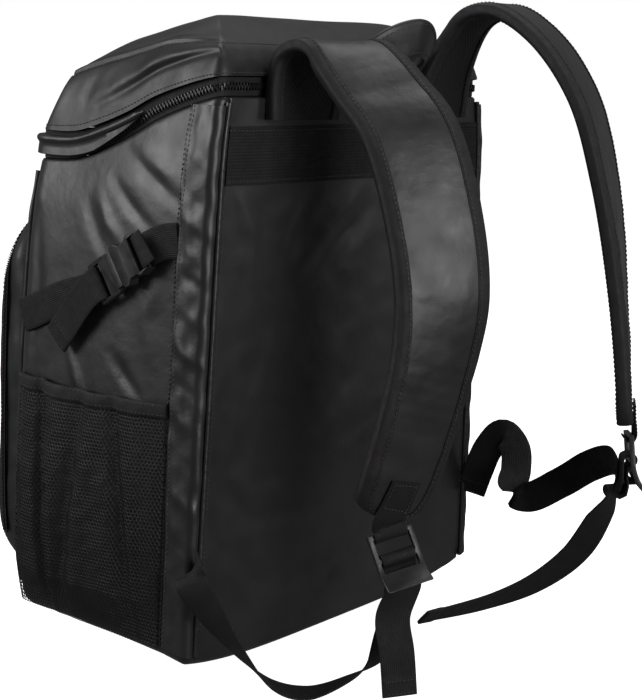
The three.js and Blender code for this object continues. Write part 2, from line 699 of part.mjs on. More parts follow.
// Front pocket
function pocketOutline(half, low, high) {
  const points = [];
  const corner = (cx, cz, radius, quarter, count) => {
    for (let k = 0; k <= count; k += 1) {
      const angle = (quarter + k / count) * Math.PI / 2;
      const [nx, nz] = [Math.cos(angle), Math.sin(angle)];
      points.push({ x: cx + radius * nx, z: cz + radius * nz, nx, nz });
    }
  };
  const top = Math.min(0.42 * half, (high - low) * 0.45);
  const bottom = top * 0.55;
  corner(bottom - half, low + bottom, bottom, 2, 3);
  corner(half - bottom, low + bottom, bottom, 3, 3);
  points.push({ x: half, z: mix(low + bottom, high - top, 0.35), nx: 1, nz: 0 });
  points.push({ x: half, z: mix(low + bottom, high - top, 0.7), nx: 1, nz: 0 });
  corner(half - top, high - top, top, 0, 4);
  points.push({ x: 0, z: high, nx: 0, nz: 1 });
  corner(top - half, high - top, top, 1, 4);
  points.push({ x: -half, z: mix(high - top, low + bottom, 0.3), nx: -1, nz: 0 });
  points.push({ x: -half, z: mix(high - top, low + bottom, 0.65), nx: -1, nz: 0 });
  return points;
}

function pocketRing(row, inset, lift = 0) {
  const half = row.half * POCKET_WIDTH / 2 - inset;
  const low = POCKET_FOOT + row.low * POCKET_HEIGHT + inset;
  const high = POCKET_FOOT + row.high * POCKET_HEIGHT - inset;
  return pocketOutline(half, low, high).map(({ x, z, nx, nz }) => {
    const y = frontAt(z / rim(FRONT)) - SEAM_GAP - row.out * (POCKET_DEPTH - inset);
    return new THREE.Vector3(x + lift * nx, y, z + lift * nz);
  });
}

function frontPocket() {
  const inside = [0, 2, 3, 5, 6].map((k) => pocketRing(POCKET_RINGS[k], POCKET_WALL)).reverse();
  return skin([...inside, ...POCKET_RINGS.map((row) => pocketRing(row, 0))]);
}

// Row of the pocket's table between two of its rows
function pocketBetween(share) {
  const [a, b] = [POCKET_RINGS[2], POCKET_RINGS[3]];
  return Object.fromEntries(Object.keys(a).map((key) => [key, mix(a[key], b[key], share)]));
}

function pocketZip() {
  const layer = (lift) => [0.35, 0.75].map((share) => {
    const ring = pocketRing(pocketBetween(share), 0, lift);
    return ring.slice(8, 23);
  });
  return slab(layer(0.5 + ZIP_CLOTH), layer(0.5));
}

// Mesh pockets
const MESH_ALONG = [0, 0.04, 0.09, 0.2, 0.28, 0.36, 0.44, 0.52, 0.62, 0.72, 0.86, 1];
const MESH_FRONT = FRONT + FRONT_CORNER * 0.3;
function meshPlace(along, z, lift) {
  const y = mix(MESH_FRONT, SEAM_Y - 2, along);
  const up = clamp(z / MESH_HEIGHT);
  const upright = (0.62 + 0.38 * Math.sin(Math.PI * up)) * Math.min(1, up * 5);
  const swell = Math.sin(Math.PI * along) ** 0.6 * upright;
  let pleat = 0;
  for (const fold of MESH_FOLDS) {
    pleat += fold.rise * Math.exp(-(((along - fold.along) / fold.width) ** 2));
  }
  return onSide(y, z, MESH_LIFT + MESH_BULGE * swell * Math.max(1 + pleat, 0.3) + lift);
}

function meshPocket() {
  const layer = (lift) => grid(MESH_ALONG, steps(5, 5, MESH_HEIGHT), (u, z) => meshPlace(u, z, lift));
  return slab(layer(MESH_CLOTH), layer(0));
}

function pocketHem() {
  const low = MESH_HEIGHT + SEAM_GAP;
  const layer = (lift) => grid(MESH_ALONG, [low, low + HEM_HEIGHT], (u, z) => meshPlace(u, z, lift));
  return slab(layer(HEM_CLOTH), layer(0));
}

// Compression strap. Its own frame: x along the strap to the back, y across it, z out of the side
const SOCKET_END = BUCKLE_LENGTH / 2;
const SOCKET_BAR = SOCKET_END - BUCKLE_BAR / 2;
const PLUG_BAR = BUCKLE_BAR / 2 - SOCKET_END;
const buckleAt = onSide(MIDDLE + 0.104 * BODY_DEPTH, 0.683 * BODY_HEIGHT, BUCKLE_STANDOFF);
const slope = THREE.MathUtils.degToRad(BUCKLE_SLOPE);
const buckleFrame = new THREE.Matrix4().makeBasis(
  new THREE.Vector3(0, Math.cos(slope), Math.sin(slope)),
  new THREE.Vector3(0, -Math.sin(slope), Math.cos(slope)),
  new THREE.Vector3(1, 0, 0),
).setPosition(buckleAt);
const atBuckle = (x, y, z) => new THREE.Vector3(x, y, z).applyMatrix4(buckleFrame);
const acrossBuckle = new THREE.Vector3(0, -Math.sin(slope), Math.cos(slope));

// Extrusion of an outline through a thickness, centred on it
function plate(points, thick) {
  const shape = new THREE.Shape(points.map(([x, y]) => new THREE.Vector2(x, y)));
  const geometry = new THREE.ExtrudeGeometry(shape, { depth: thick, bevelEnabled: false });
  return geometry.translate(0, 0, -thick / 2);
}

const symmetric = (half) => [...half, ...half.map(([x, y]) => [x, -y]).reverse()];

function buckleSocket() {
  const wide = BUCKLE_WIDTH / 2;
  const outer = symmetric([
    [SOCKET_END, wide - 2.5], [SOCKET_END - 8, wide - 0.5], [SOCKET_END - 11, wide - 3.2], [9, wide - 3.4],
    [6, wide], [2, wide], [0, wide - 3],
  ]).reverse();
  const inner = WEBBING_WIDTH / 2 + 0.4;
  const thin = BUCKLE_BAR / 2;
  const tall = BUCKLE_THICK;
  let body = solid(plate(outer, BUCKLE_THICK));
  const slot = [SOCKET_END - 2 * BUCKLE_BAR - 0.6, SOCKET_END - BUCKLE_BAR];
  for (const cut of [
    block(-1, 17, 4.6 - wide, wide - 4.6, -2.7, 2.7),
    block(8, 14, -tall * 2, tall * 2, -2.7, 2.7),
    block(slot[0], slot[1], -inner, inner, -tall, tall),
    block(slot[0], SOCKET_END + 1, -inner, inner, thin, tall),
    block(slot[0], SOCKET_END + 1, -inner, inner, -tall, -thin),
  ]) {
    body = body.subtract(solid(cut));
  }
  return geometryOf(body);
}

function bucklePlug() {
  const wide = BUCKLE_WIDTH / 2;
  const inner = WEBBING_WIDTH / 2 + 0.4;
  const slot = [PLUG_BAR + BUCKLE_BAR / 2, PLUG_BAR + BUCKLE_BAR / 2 + 7];
  const outer = symmetric([[-0.4, wide - 3], [-5, wide - 1.5], [-8, wide - 0.5], [-SOCKET_END, wide - 0.5]]);
  let body = solid(plate(outer.reverse(), BUCKLE_THICK - 5));
  const brow = BUCKLE_THICK / 2 - 0.5;
  body = body.add(solid(block(-7, -0.4, 3 - wide, wide - 3, -brow, brow)));
  for (const side of [-1, 1]) {
    const low = side > 0 ? wide - 8.6 : 5.1 - wide;
    body = body.add(solid(block(-3, 13.6, low, low + 3.5, -2.2, 2.2)));
    const lobe = side > 0 ? wide - 6 : 3.6 - wide;
    body = body.add(solid(block(8.5, 13.6, lobe, lobe + 2.4, -2.2, 2.2)));
  }
  body = body.add(solid(block(-3, 11, -1.5, 1.5, -2.2, 2.2)));
  const cut = block(slot[0], slot[1], -inner, inner, -BUCKLE_THICK, BUCKLE_THICK);
  return geometryOf(body.subtract(solid(cut)));
}

const wrap = BUCKLE_BAR / 2 + WEBBING / 2 + 0.6;
function strapAnchor() {
  const points = [
    onSide(SEAM_Y - 3, 0.7415 * BODY_HEIGHT, 2.2 * WEBBING),
    onSide(SEAM_Y - 10, 0.7385 * BODY_HEIGHT, 2.2 * WEBBING),
    atBuckle(SOCKET_BAR + 5, 0, -wrap - 1),
    atBuckle(SOCKET_BAR, 0, -wrap - 0.6),
    atBuckle(SOCKET_BAR - wrap, 0, -1.8),
    atBuckle(SOCKET_BAR - wrap - 0.3, 0, 0),
    atBuckle(SOCKET_BAR - wrap, 0, 1.8),
    atBuckle(SOCKET_BAR, 0, wrap + 0.6),
    atBuckle(SOCKET_BAR + 9, 1, wrap),
  ];
  const upright = new THREE.Vector3(0, 0, 1);
  return webbing(points, points.map((_, k) => (k < 2 ? upright : acrossBuckle)), 18);
}

function compressionWebbing() {
  const frontEnd = onSide(FRONT + 0.35 * FRONT_CORNER, 0.56 * BODY_HEIGHT, 2 * WEBBING);
  const turned = onSide(FRONT + 1.2 * FRONT_CORNER, 0.575 * BODY_HEIGHT, 2.2 * WEBBING);
  const middle = onSide(mix(FRONT, MIDDLE, 0.5), 0.605 * BODY_HEIGHT, 1.8 * WEBBING);
  const gap = WEBBING / 2 + BUCKLE_BAR / 2 + 1.4;
  const tilted = acrossBuckle.clone().add(new THREE.Vector3(0, 0.2, 0)).normalize();
  const onBag = [frontEnd, turned, middle];
  const throughPlug = [
    [PLUG_BAR - 9, 1, -gap - 0.6],
    [PLUG_BAR - 1, 0, -gap],
    [PLUG_BAR + gap - 0.4, 0, -1.8],
    [PLUG_BAR + gap, 0, 0],
    [PLUG_BAR + gap - 0.4, 0, 1.8],
    [PLUG_BAR - 1, 0, gap],
    [PLUG_BAR - 12, -1, gap],
    [PLUG_BAR - 60, -14, 1],
  ].map((spot) => atBuckle(...spot));
  const across = [...onBag.map(() => tilted), ...throughPlug.map(() => acrossBuckle)];
  return webbing([...onBag, ...throughPlug], across, 33);
}

// Straps. A place in the tables' shares
const place = ({ across, back, up }) => {
  return new THREE.Vector3(across * HALF, BACK + back * BODY_DEPTH, up * BODY_HEIGHT);
};
const widthOf = ({ ax, ay = 0, az }) => new THREE.Vector3(ax, ay, az).normalize();

function strapStations(rows) {
  const across = rows.map(({ turn }) => {
    const angle = THREE.MathUtils.degToRad(turn);
    return new THREE.Vector3(Math.cos(angle), -Math.sin(angle), 0);
  });
  return stations(rows.map(place), across, 23, new THREE.Vector3(0, 0, 1));
}

const strapHalf = (t) => (STRAP_WIDTH / 2 - BINDING) * smooth(STRAP_TAPER, 'along', 'half', t);

function shoulderPad(places) {
  return sweep(places, ({ t }) => {
    const half = strapHalf(t) - 2.5 * SEAM_GAP;
    const low = 0.15;
    return [[-half, low], [half, low], [half, STRAP_PAD * 0.62], [half * 0.6, STRAP_PAD * 0.95],
      [0, STRAP_PAD], [-half * 0.6, STRAP_PAD * 0.95], [-half, STRAP_PAD * 0.62]];
  });
}

// The air mesh lies under the pad; its rings run backwards so that both faces fold along the same lines
function strapMesh(places) {
  return sweep([...places].reverse(), ({ t }) => {
    const half = strapHalf(t) - 2.5 * SEAM_GAP;
    const high = -0.15;
    return [[-half, -STRAP_AIR_MESH * 0.6], [-half * 0.7, -STRAP_AIR_MESH], [half * 0.7, -STRAP_AIR_MESH],
      [half, -STRAP_AIR_MESH * 0.6], [half, high], [-half, high]];
  });
}

// Binding down one edge of a strap, round its lower end and up the other edge
function strapBinding(places) {
  const beyond = 1.2 * SEAM_GAP + BINDING / 2;
  const edge = (sign) => places.map(({ t, at, side, out }) => {
    return { at: at.clone().addScaledVector(side, sign * (strapHalf(t) + beyond)), out };
  });
  const end = places.at(-1);
  const way = end.out.clone().cross(end.side).normalize();
  const right = edge(1);
  const left = edge(-1);
  for (const corner of [left.at(-1), right.at(-1)]) corner.at.addScaledVector(way, BINDING / 2 + SEAM_GAP);
  const path = [...left, ...right.reverse()];
  const rings = path.map(({ at, out }, k) => {
    const before = path[Math.max(k - 1, 0)].at;
    const after = path[Math.min(k + 1, path.length - 1)].at;
    const side = after.clone().sub(before).normalize().cross(out).normalize();
    const high = STRAP_PAD * 0.75;
    const low = -STRAP_AIR_MESH * 0.85;
    return [[-0.5, low], [0.5, low], [0.5, high], [-0.5, high]].map(([across, up]) => {
      return at.clone().addScaledVector(side, across * BINDING).addScaledVector(out, up);
    });
  });
  return skin(rings);
}

// Ladder lock. Its own frame: x across, y out of its face, z up; the webbing's bar lies a little over
// its middle and the lip curls outwards at the foot
const LOCK_BAR = 4;
const LOCK_TOP = LOCK_LENGTH / 2 - LOCK_BAR / 2;
const LOCK_MIDDLE = 2;
const lockCurl = (z) => 7 * clamp(-z / (LOCK_LENGTH / 2)) ** 2;

function ladderLock() {
  const thin = LOCK_THICK / 2;
  const heights = steps(10, LOCK_LENGTH / 2, -LOCK_LENGTH / 2);
  const front = heights.map((z) => [z, lockCurl(z) + thin]);
  const back = heights.map((z) => [z, lockCurl(z) - thin]).reverse();
  const body = plate([...front, ...back], LOCK_WIDTH).applyMatrix4(new THREE.Matrix4().makeBasis(
    new THREE.Vector3(0, 0, 1), new THREE.Vector3(0, 1, 0), new THREE.Vector3(-1, 0, 0),
  ));
  const inner = WEBBING_WIDTH / 2 + 0.8;
  const slots = [
    [LOCK_MIDDLE + LOCK_BAR / 2, LOCK_TOP - LOCK_BAR / 2],
    [LOCK_MIDDLE - LOCK_BAR / 2 - 7, LOCK_MIDDLE - LOCK_BAR / 2],
  ];
  let lock = solid(body);
  for (const [low, high] of slots) lock = lock.subtract(solid(block(-inner, inner, -10, 10, low, high)));
  return geometryOf(lock);
}

function lockFrame(row) {
  const down = new THREE.Vector3(...row.down).normalize();
  const side = new THREE.Vector3(...row.side);
  side.addScaledVector(down, -side.dot(down)).normalize();
  const up = down.clone().negate();
  return new THREE.Matrix4().makeBasis(side, up.clone().cross(side), up).setPosition(place(row));
}

const inLock = (frame, y, z) => new THREE.Vector3(0, y, z).applyMatrix4(frame);
const lockSide = (frame) => new THREE.Vector3().setFromMatrixColumn(frame, 0);

// Webbing from the bag's corner up behind the lock, over its middle bar and down as the free tail
function adjuster(frame, route, tail) {
  const side = lockSide(frame);
  const round = LOCK_BAR / 2 + WEBBING / 2 + 0.7;
  const through = [
    [-8.2, -12],
    [-7, -4],
    [-5.6, LOCK_MIDDLE + 2],
    [-2.4, LOCK_MIDDLE + round],
    [0, LOCK_MIDDLE + round + 0.3],
    [2.6, LOCK_MIDDLE + round - 0.8],
    [LOCK_THICK / 2 + 1.6, LOCK_MIDDLE],
    [2.4, LOCK_MIDDLE - round + 0.6],
    [0, LOCK_MIDDLE - round - 0.4],
    [-3.2, LOCK_MIDDLE - round - 2.4],
    [-4.2, -10],
    [-4.2, -17],
  ].map(([y, z]) => inLock(frame, y, z));
  const points = [...route.map(place), ...through, ...tail.map(place)];
  const across = [...route.map(widthOf), ...through.map(() => side), ...tail.map(widthOf)];
  return webbing(points, across, 2 * points.length);
}

// Webbing tab from the face of the pad, over the strap's end and round the lock's top bar
function endTab(places, frame) {
  const side = lockSide(frame);
  const lifted = (index) => {
    const { at, out } = places.at(index);
    return at.clone().addScaledVector(out, STRAP_PAD + WEBBING);
  };
  const round = LOCK_BAR / 2 + WEBBING / 2 + 0.6;
  const loop = [
    [4.4, LOCK_TOP + 4],
    [round + 0.6, LOCK_TOP],
    [LOCK_THICK / 2 - 0.2, LOCK_TOP - round],
    [0, LOCK_TOP - round - 0.2],
    [-2, LOCK_TOP - round + 0.2],
    [-round - 0.6, LOCK_TOP],
  ].map(([y, z]) => inLock(frame, y, z));
  const halfTurned = places.at(-1).side.clone().lerp(side, 0.5);
  const points = [lifted(-4), lifted(-2), lifted(-1), ...loop];
  const across = [places.at(-4).side, places.at(-2).side, halfTurned, ...loop.map(() => side)];
  return webbing(points, across, 20);
}

function grabHandle() {
  const other = HANDLE.slice(0, -1).reverse();
  const rows = [...HANDLE, ...other.map((row) => ({ ...row, across: -row.across, ax: -row.ax }))];
  const half = HANDLE_WIDTH / 2;
  const thin = HANDLE_THICK / 2;
  const places = stations(rows.map(place), rows.map(widthOf), 16, new THREE.Vector3(0, 0, 1));
  return sweep(places, () => [
    [-half, -thin * 0.5],
    [-half * 0.6, -thin],
    [half * 0.6, -thin],
    [half, -thin * 0.5],
    [half, thin * 0.5],
    [half * 0.6, thin],
    [-half * 0.6, thin],
    [-half, thin * 0.5],
  ]);
}

// The whole bag hangs a little askew: its base swings to one side
const bag = new THREE.Group();
bag.matrixAutoUpdate = false;
bag.matrix.set(1, 0, -LEAN / BODY_HEIGHT, LEAN, 0, 1, 0, 0, 0, 0, 1, 0, 0, 0, 0, 1);

function add(name, geometry, material) {
  const mesh = new THREE.Mesh(geometry, material);
  mesh.name = name;
  bag.add(mesh);
  return mesh;
}

function addPair(name, geometry, material) {
  add(`${name}_right`, geometry, material);
  add(`${name}_left`, mirrored(geometry), material);
}

add('body_shell', bodyShell(), COATED);
add('back_panel', backPanel(), COATED);
add('webbing_band', webbingBand(), WEB);
addPair('back_piping', backPiping(), TAPE);
addPair('gusset', gusset(), COATED);
addPair('front_binding', frontBinding(), COATED);
add('lid', lid(), LID_CLOTH);
add('lid_zip_tape', zipTape(), TAPE);
add('lid_zip_teeth', zipTeeth(), PLASTIC);
add('lid_hinge', lidHinge(), LID_CLOTH);
add('lid_welt', lidWelt(), COATED);
add('front_pocket', frontPocket(), COATED);
add('pocket_zip', pocketZip(), PLASTIC);
addPair('mesh_pocket', meshPocket(), NET);
addPair('pocket_hem', pocketHem(), TAPE);

// Sliders of the lid's zip stand apart at the middle of the front
const sliderY = FRONT - 0.4;
const sliderZ = teethMiddle(FRONT);
for (const [name, x] of [['lid_zip_slider_right', 4], ['lid_zip_slider_left', -4 - SLIDER_LENGTH]]) {
  add(name, zipSlider(), PLASTIC).position.set(x, sliderY, sliderZ);
}

addPair('strap_anchor', strapAnchor(), WEB);
addPair('buckle_socket', buckleSocket().applyMatrix4(buckleFrame), PLASTIC);
addPair('buckle_plug', bucklePlug().applyMatrix4(buckleFrame), PLASTIC);
addPair('compression_webbing', compressionWebbing(), WEB);

for (const [name, strap, lock, route, tail] of [
  ['right', STRAP_RIGHT, LOCK_RIGHT, ADJUSTER_RIGHT, TAIL_RIGHT],
  ['left', STRAP_LEFT, LOCK_LEFT, ADJUSTER_LEFT, TAIL_LEFT],
]) {
  const places = strapStations(strap);
  const frame = lockFrame(lock);
  add(`shoulder_pad_${name}`, shoulderPad(places), COATED);
  add(`strap_mesh_${name}`, strapMesh(places), NET);
  add(`strap_binding_${name}`, strapBinding(places), TAPE);
  add(`end_tab_${name}`, endTab(places, frame), WEB);
  add(`ladder_lock_${name}`, ladderLock().applyMatrix4(frame), PLASTIC);
  add(`adjuster_webbing_${name}`, adjuster(frame, route, tail), WEB);
}

add('grab_handle', grabHandle(), COATED);

const hook = place(HOOK).add(new THREE.Vector3(0, 0, -HANDLE_WIDTH / 2));
hook.x += LEAN * (1 - hook.z / BODY_HEIGHT);

const hanging = new THREE.Group();
hanging.add(bag);
hanging.position.copy(hook).negate();
hanging.updateMatrixWorld(true);

export default hanging;
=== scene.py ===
"""Black cooler backpack that hangs by its grab handle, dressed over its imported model.

Shapes are worked out in millimetres in the bag's own space: x across it, y out of the back that is
worn, z up from its base. Hang.place turns them into the model's space.
"""

import logging
import math
from collections.abc import Sequence
from dataclasses import dataclass, field
from enum import Enum

import bmesh
import bpy
import numpy as np
from mathutils import Matrix


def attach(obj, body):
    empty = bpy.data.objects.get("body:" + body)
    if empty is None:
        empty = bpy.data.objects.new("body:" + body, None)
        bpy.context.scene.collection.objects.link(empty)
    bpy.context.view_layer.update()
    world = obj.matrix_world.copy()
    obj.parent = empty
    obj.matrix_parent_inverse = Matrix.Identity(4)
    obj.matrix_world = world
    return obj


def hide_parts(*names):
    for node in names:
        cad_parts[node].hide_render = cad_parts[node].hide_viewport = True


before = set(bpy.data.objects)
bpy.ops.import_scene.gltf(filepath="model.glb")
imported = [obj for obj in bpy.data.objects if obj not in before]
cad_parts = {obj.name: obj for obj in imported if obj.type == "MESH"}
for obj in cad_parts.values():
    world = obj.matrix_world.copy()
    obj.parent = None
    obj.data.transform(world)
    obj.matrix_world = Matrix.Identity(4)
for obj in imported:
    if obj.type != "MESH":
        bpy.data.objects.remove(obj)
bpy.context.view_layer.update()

LOG = logging.getLogger("cooler_backpack")
MM = 0.001
Array = np.ndarray


class Side(Enum):
    """The two sides of the bag, with the sign of x there."""

    RIGHT = 1
    LEFT = -1

    @property
    def tag(self) -> str:
        """Ending of the names of this side's nodes."""
        return self.name.lower()


# Curves and relief


def follow(keys: Sequence[float], values: Sequence[float], at: Array) -> Array:
    """Smooth cubic through a table, flat past its ends.

    Between two rows the value is v0 + t*rise + t*(1-t)*((1-t)*(m0*span-rise) + t*(rise-m1*span)),
    where a row's slope m is the rise over the run of its two neighbours.

    Args:
        keys: Rising places of the rows.
        values: Value of each row.
        at: Places to read.

    Returns:
        The value at each place.
    """
    keys, values = np.asarray(keys, float), np.asarray(values, float)
    before = np.maximum(np.arange(len(keys)) - 1, 0)
    after = np.minimum(np.arange(len(keys)) + 1, len(keys) - 1)
    slopes = (values[after] - values[before]) / (keys[after] - keys[before])
    at = np.clip(at, keys[0], keys[-1])
    i = np.clip(np.searchsorted(keys, at, side="right") - 1, 0, len(keys) - 2)
    span, rise = keys[i + 1] - keys[i], values[i + 1] - values[i]
    t = (at - keys[i]) / span
    bend = (1 - t) * (slopes[i] * span - rise) + t * (rise - slopes[i + 1] * span)
    return values[i] + t * rise + t * (1 - t) * bend


def unit(vectors: Array) -> Array:
    """Vectors divided by their lengths."""
    return vectors / np.maximum(np.linalg.norm(vectors, axis=-1, keepdims=True), 1e-9)


def hump(values: Array, middle: float, width: float) -> Array:
    """Bell exp(-((v-middle)/width)^2)."""
    return np.exp(-(((values - middle) / width) ** 2))


def travelled(points: Array) -> Array:
    """Distance along a row of points to each of them."""
    return np.concatenate([[0], np.cumsum(np.linalg.norm(np.diff(points, axis=0), axis=1))])


def read(values: Array, keys: Array, at: Array) -> Array:
    """Rows of three values at places between the rows' own keys, by straight lines."""
    return np.stack([np.interp(at, keys, values[:, k]) for k in range(3)], axis=-1)


def pattern(a: Array, b: Array) -> Array:
    """Pattern coordinates in metres from two lengths in millimetres."""
    return np.stack(np.broadcast_arrays(a, b), axis=-1) * MM


def link(made: bpy.types.Object) -> bpy.types.Object:
    """Puts a new object into the scene and returns it."""
    bpy.context.scene.collection.objects.link(made)
    return made


def ripples(points: Array, wavelength: float, seed: int, stretch: Sequence[float] = (1, 1, 1)) -> Array:
    """Uneven soft relief: the sum of eleven sine waves with random ways, phases and lengths.

    Args:
        points: Places, with three columns in the last axis.
        wavelength: Middle length of the waves in millimetres.
        seed: Seed of the random ways.
        stretch: How much longer the waves are along each axis.

    Returns:
        A height of about -1 to 1 at each place.
    """
    chance = np.random.default_rng(seed)
    ways = unit(chance.normal(size=(11, 3))) / np.asarray(stretch, float)
    lengths = wavelength * chance.uniform(0.65, 1.6, 11)
    phases = chance.uniform(0, 2 * math.pi, 11)
    turns = points @ (ways / lengths[:, None]).T
    return np.sin(2 * math.pi * turns + phases).sum(-1) / 4.2


@dataclass(frozen=True)
class Crease:
    """A fold line on a surface: its path in the surface's two lengths, its half width and height."""

    path: tuple[tuple[float, float], ...]
    width: float
    rise: float

    def height(self, a: Array, b: Array) -> Array:
        """Height of the fold: a bell over the distance from the path, with a shallow dip beside it.

        Args:
            a: First coordinate of each place.
            b: Second coordinate of each place.

        Returns:
            The height, which fades towards both ends of the path.
        """
        spots = np.stack(np.broadcast_arrays(a, b), axis=-1).astype(float)
        nearest = np.full(spots.shape[:-1], 1e9)
        share = np.zeros(spots.shape[:-1])
        pieces = len(self.path) - 1
        for k in range(pieces):
            start, end = np.array(self.path[k]), np.array(self.path[k + 1])
            run = end - start
            along = np.clip(((spots - start) @ run) / (run @ run), 0, 1)
            away = np.linalg.norm(spots - start - along[..., None] * run, axis=-1)
            closer = away < nearest
            nearest = np.where(closer, away, nearest)
            share = np.where(closer, (k + along) / pieces, share)
        bell = np.exp(-((nearest / self.width) ** 2)) - 0.3 * np.exp(-((nearest / (2.5 * self.width)) ** 2))
        return self.rise * bell * (0.35 + 0.65 * np.sin(math.pi * share))


def relief(creases: Sequence[Crease], a: Array, b: Array) -> Array:
    """Sum of the heights of several folds."""
    return sum((crease.height(a, b) for crease in creases), np.zeros(np.broadcast(a, b).shape))


# The bag's form


@dataclass(frozen=True)
class Hang:
    """How the bag hangs: its base swings to one side, and its handle's underside is the origin."""

    lean: float = 5.0
    height: float = 394.0
    hook: tuple[float, float, float] = (-0.3574, 136.896, 422.158)
    sag: float = 16.0
    tilt: float = 4.0
    tuck: float = 9.0

    def place(self, points: Array) -> Array:
        """Bag space in millimetres to model space in metres.

        The padded base sags by (sag*(1-(x/185)^4) + tilt*x/172) times (1-z/110)^2 and a share that is 1
        at the back and 0 at the front, and the front's foot tucks in by tuck*(1-z/70)^2. Then x gains
        lean*(1-z/height), and the hook's place is taken away.

        Args:
            points: Places, with three columns in the last axis.

        Returns:
            The same places in model space.
        """
        moved = np.array(points, float)
        x, y, z = moved[..., 0], moved[..., 1], moved[..., 2].copy()
        near = np.interp(y, (-100, -40, 20, 60, 85, 93, 112), (0, 0.1, 0.35, 0.62, 1, 1, 0))
        drop = self.sag * (1 - np.clip(x / 185, -1.1, 1.1) ** 4) + self.tilt * x / 172
        moved[..., 2] -= drop * near * np.clip(1 - z / 110, 0, 1) ** 2
        moved[..., 1] += self.tuck * np.clip(1 - z / 70, 0, 1) ** 2 * np.clip(-y / 100, 0, 1)
        moved[..., 0] += self.lean * (1 - moved[..., 2] / self.height)
        return (moved - np.array(self.hook)) * MM


HANG = Hang()


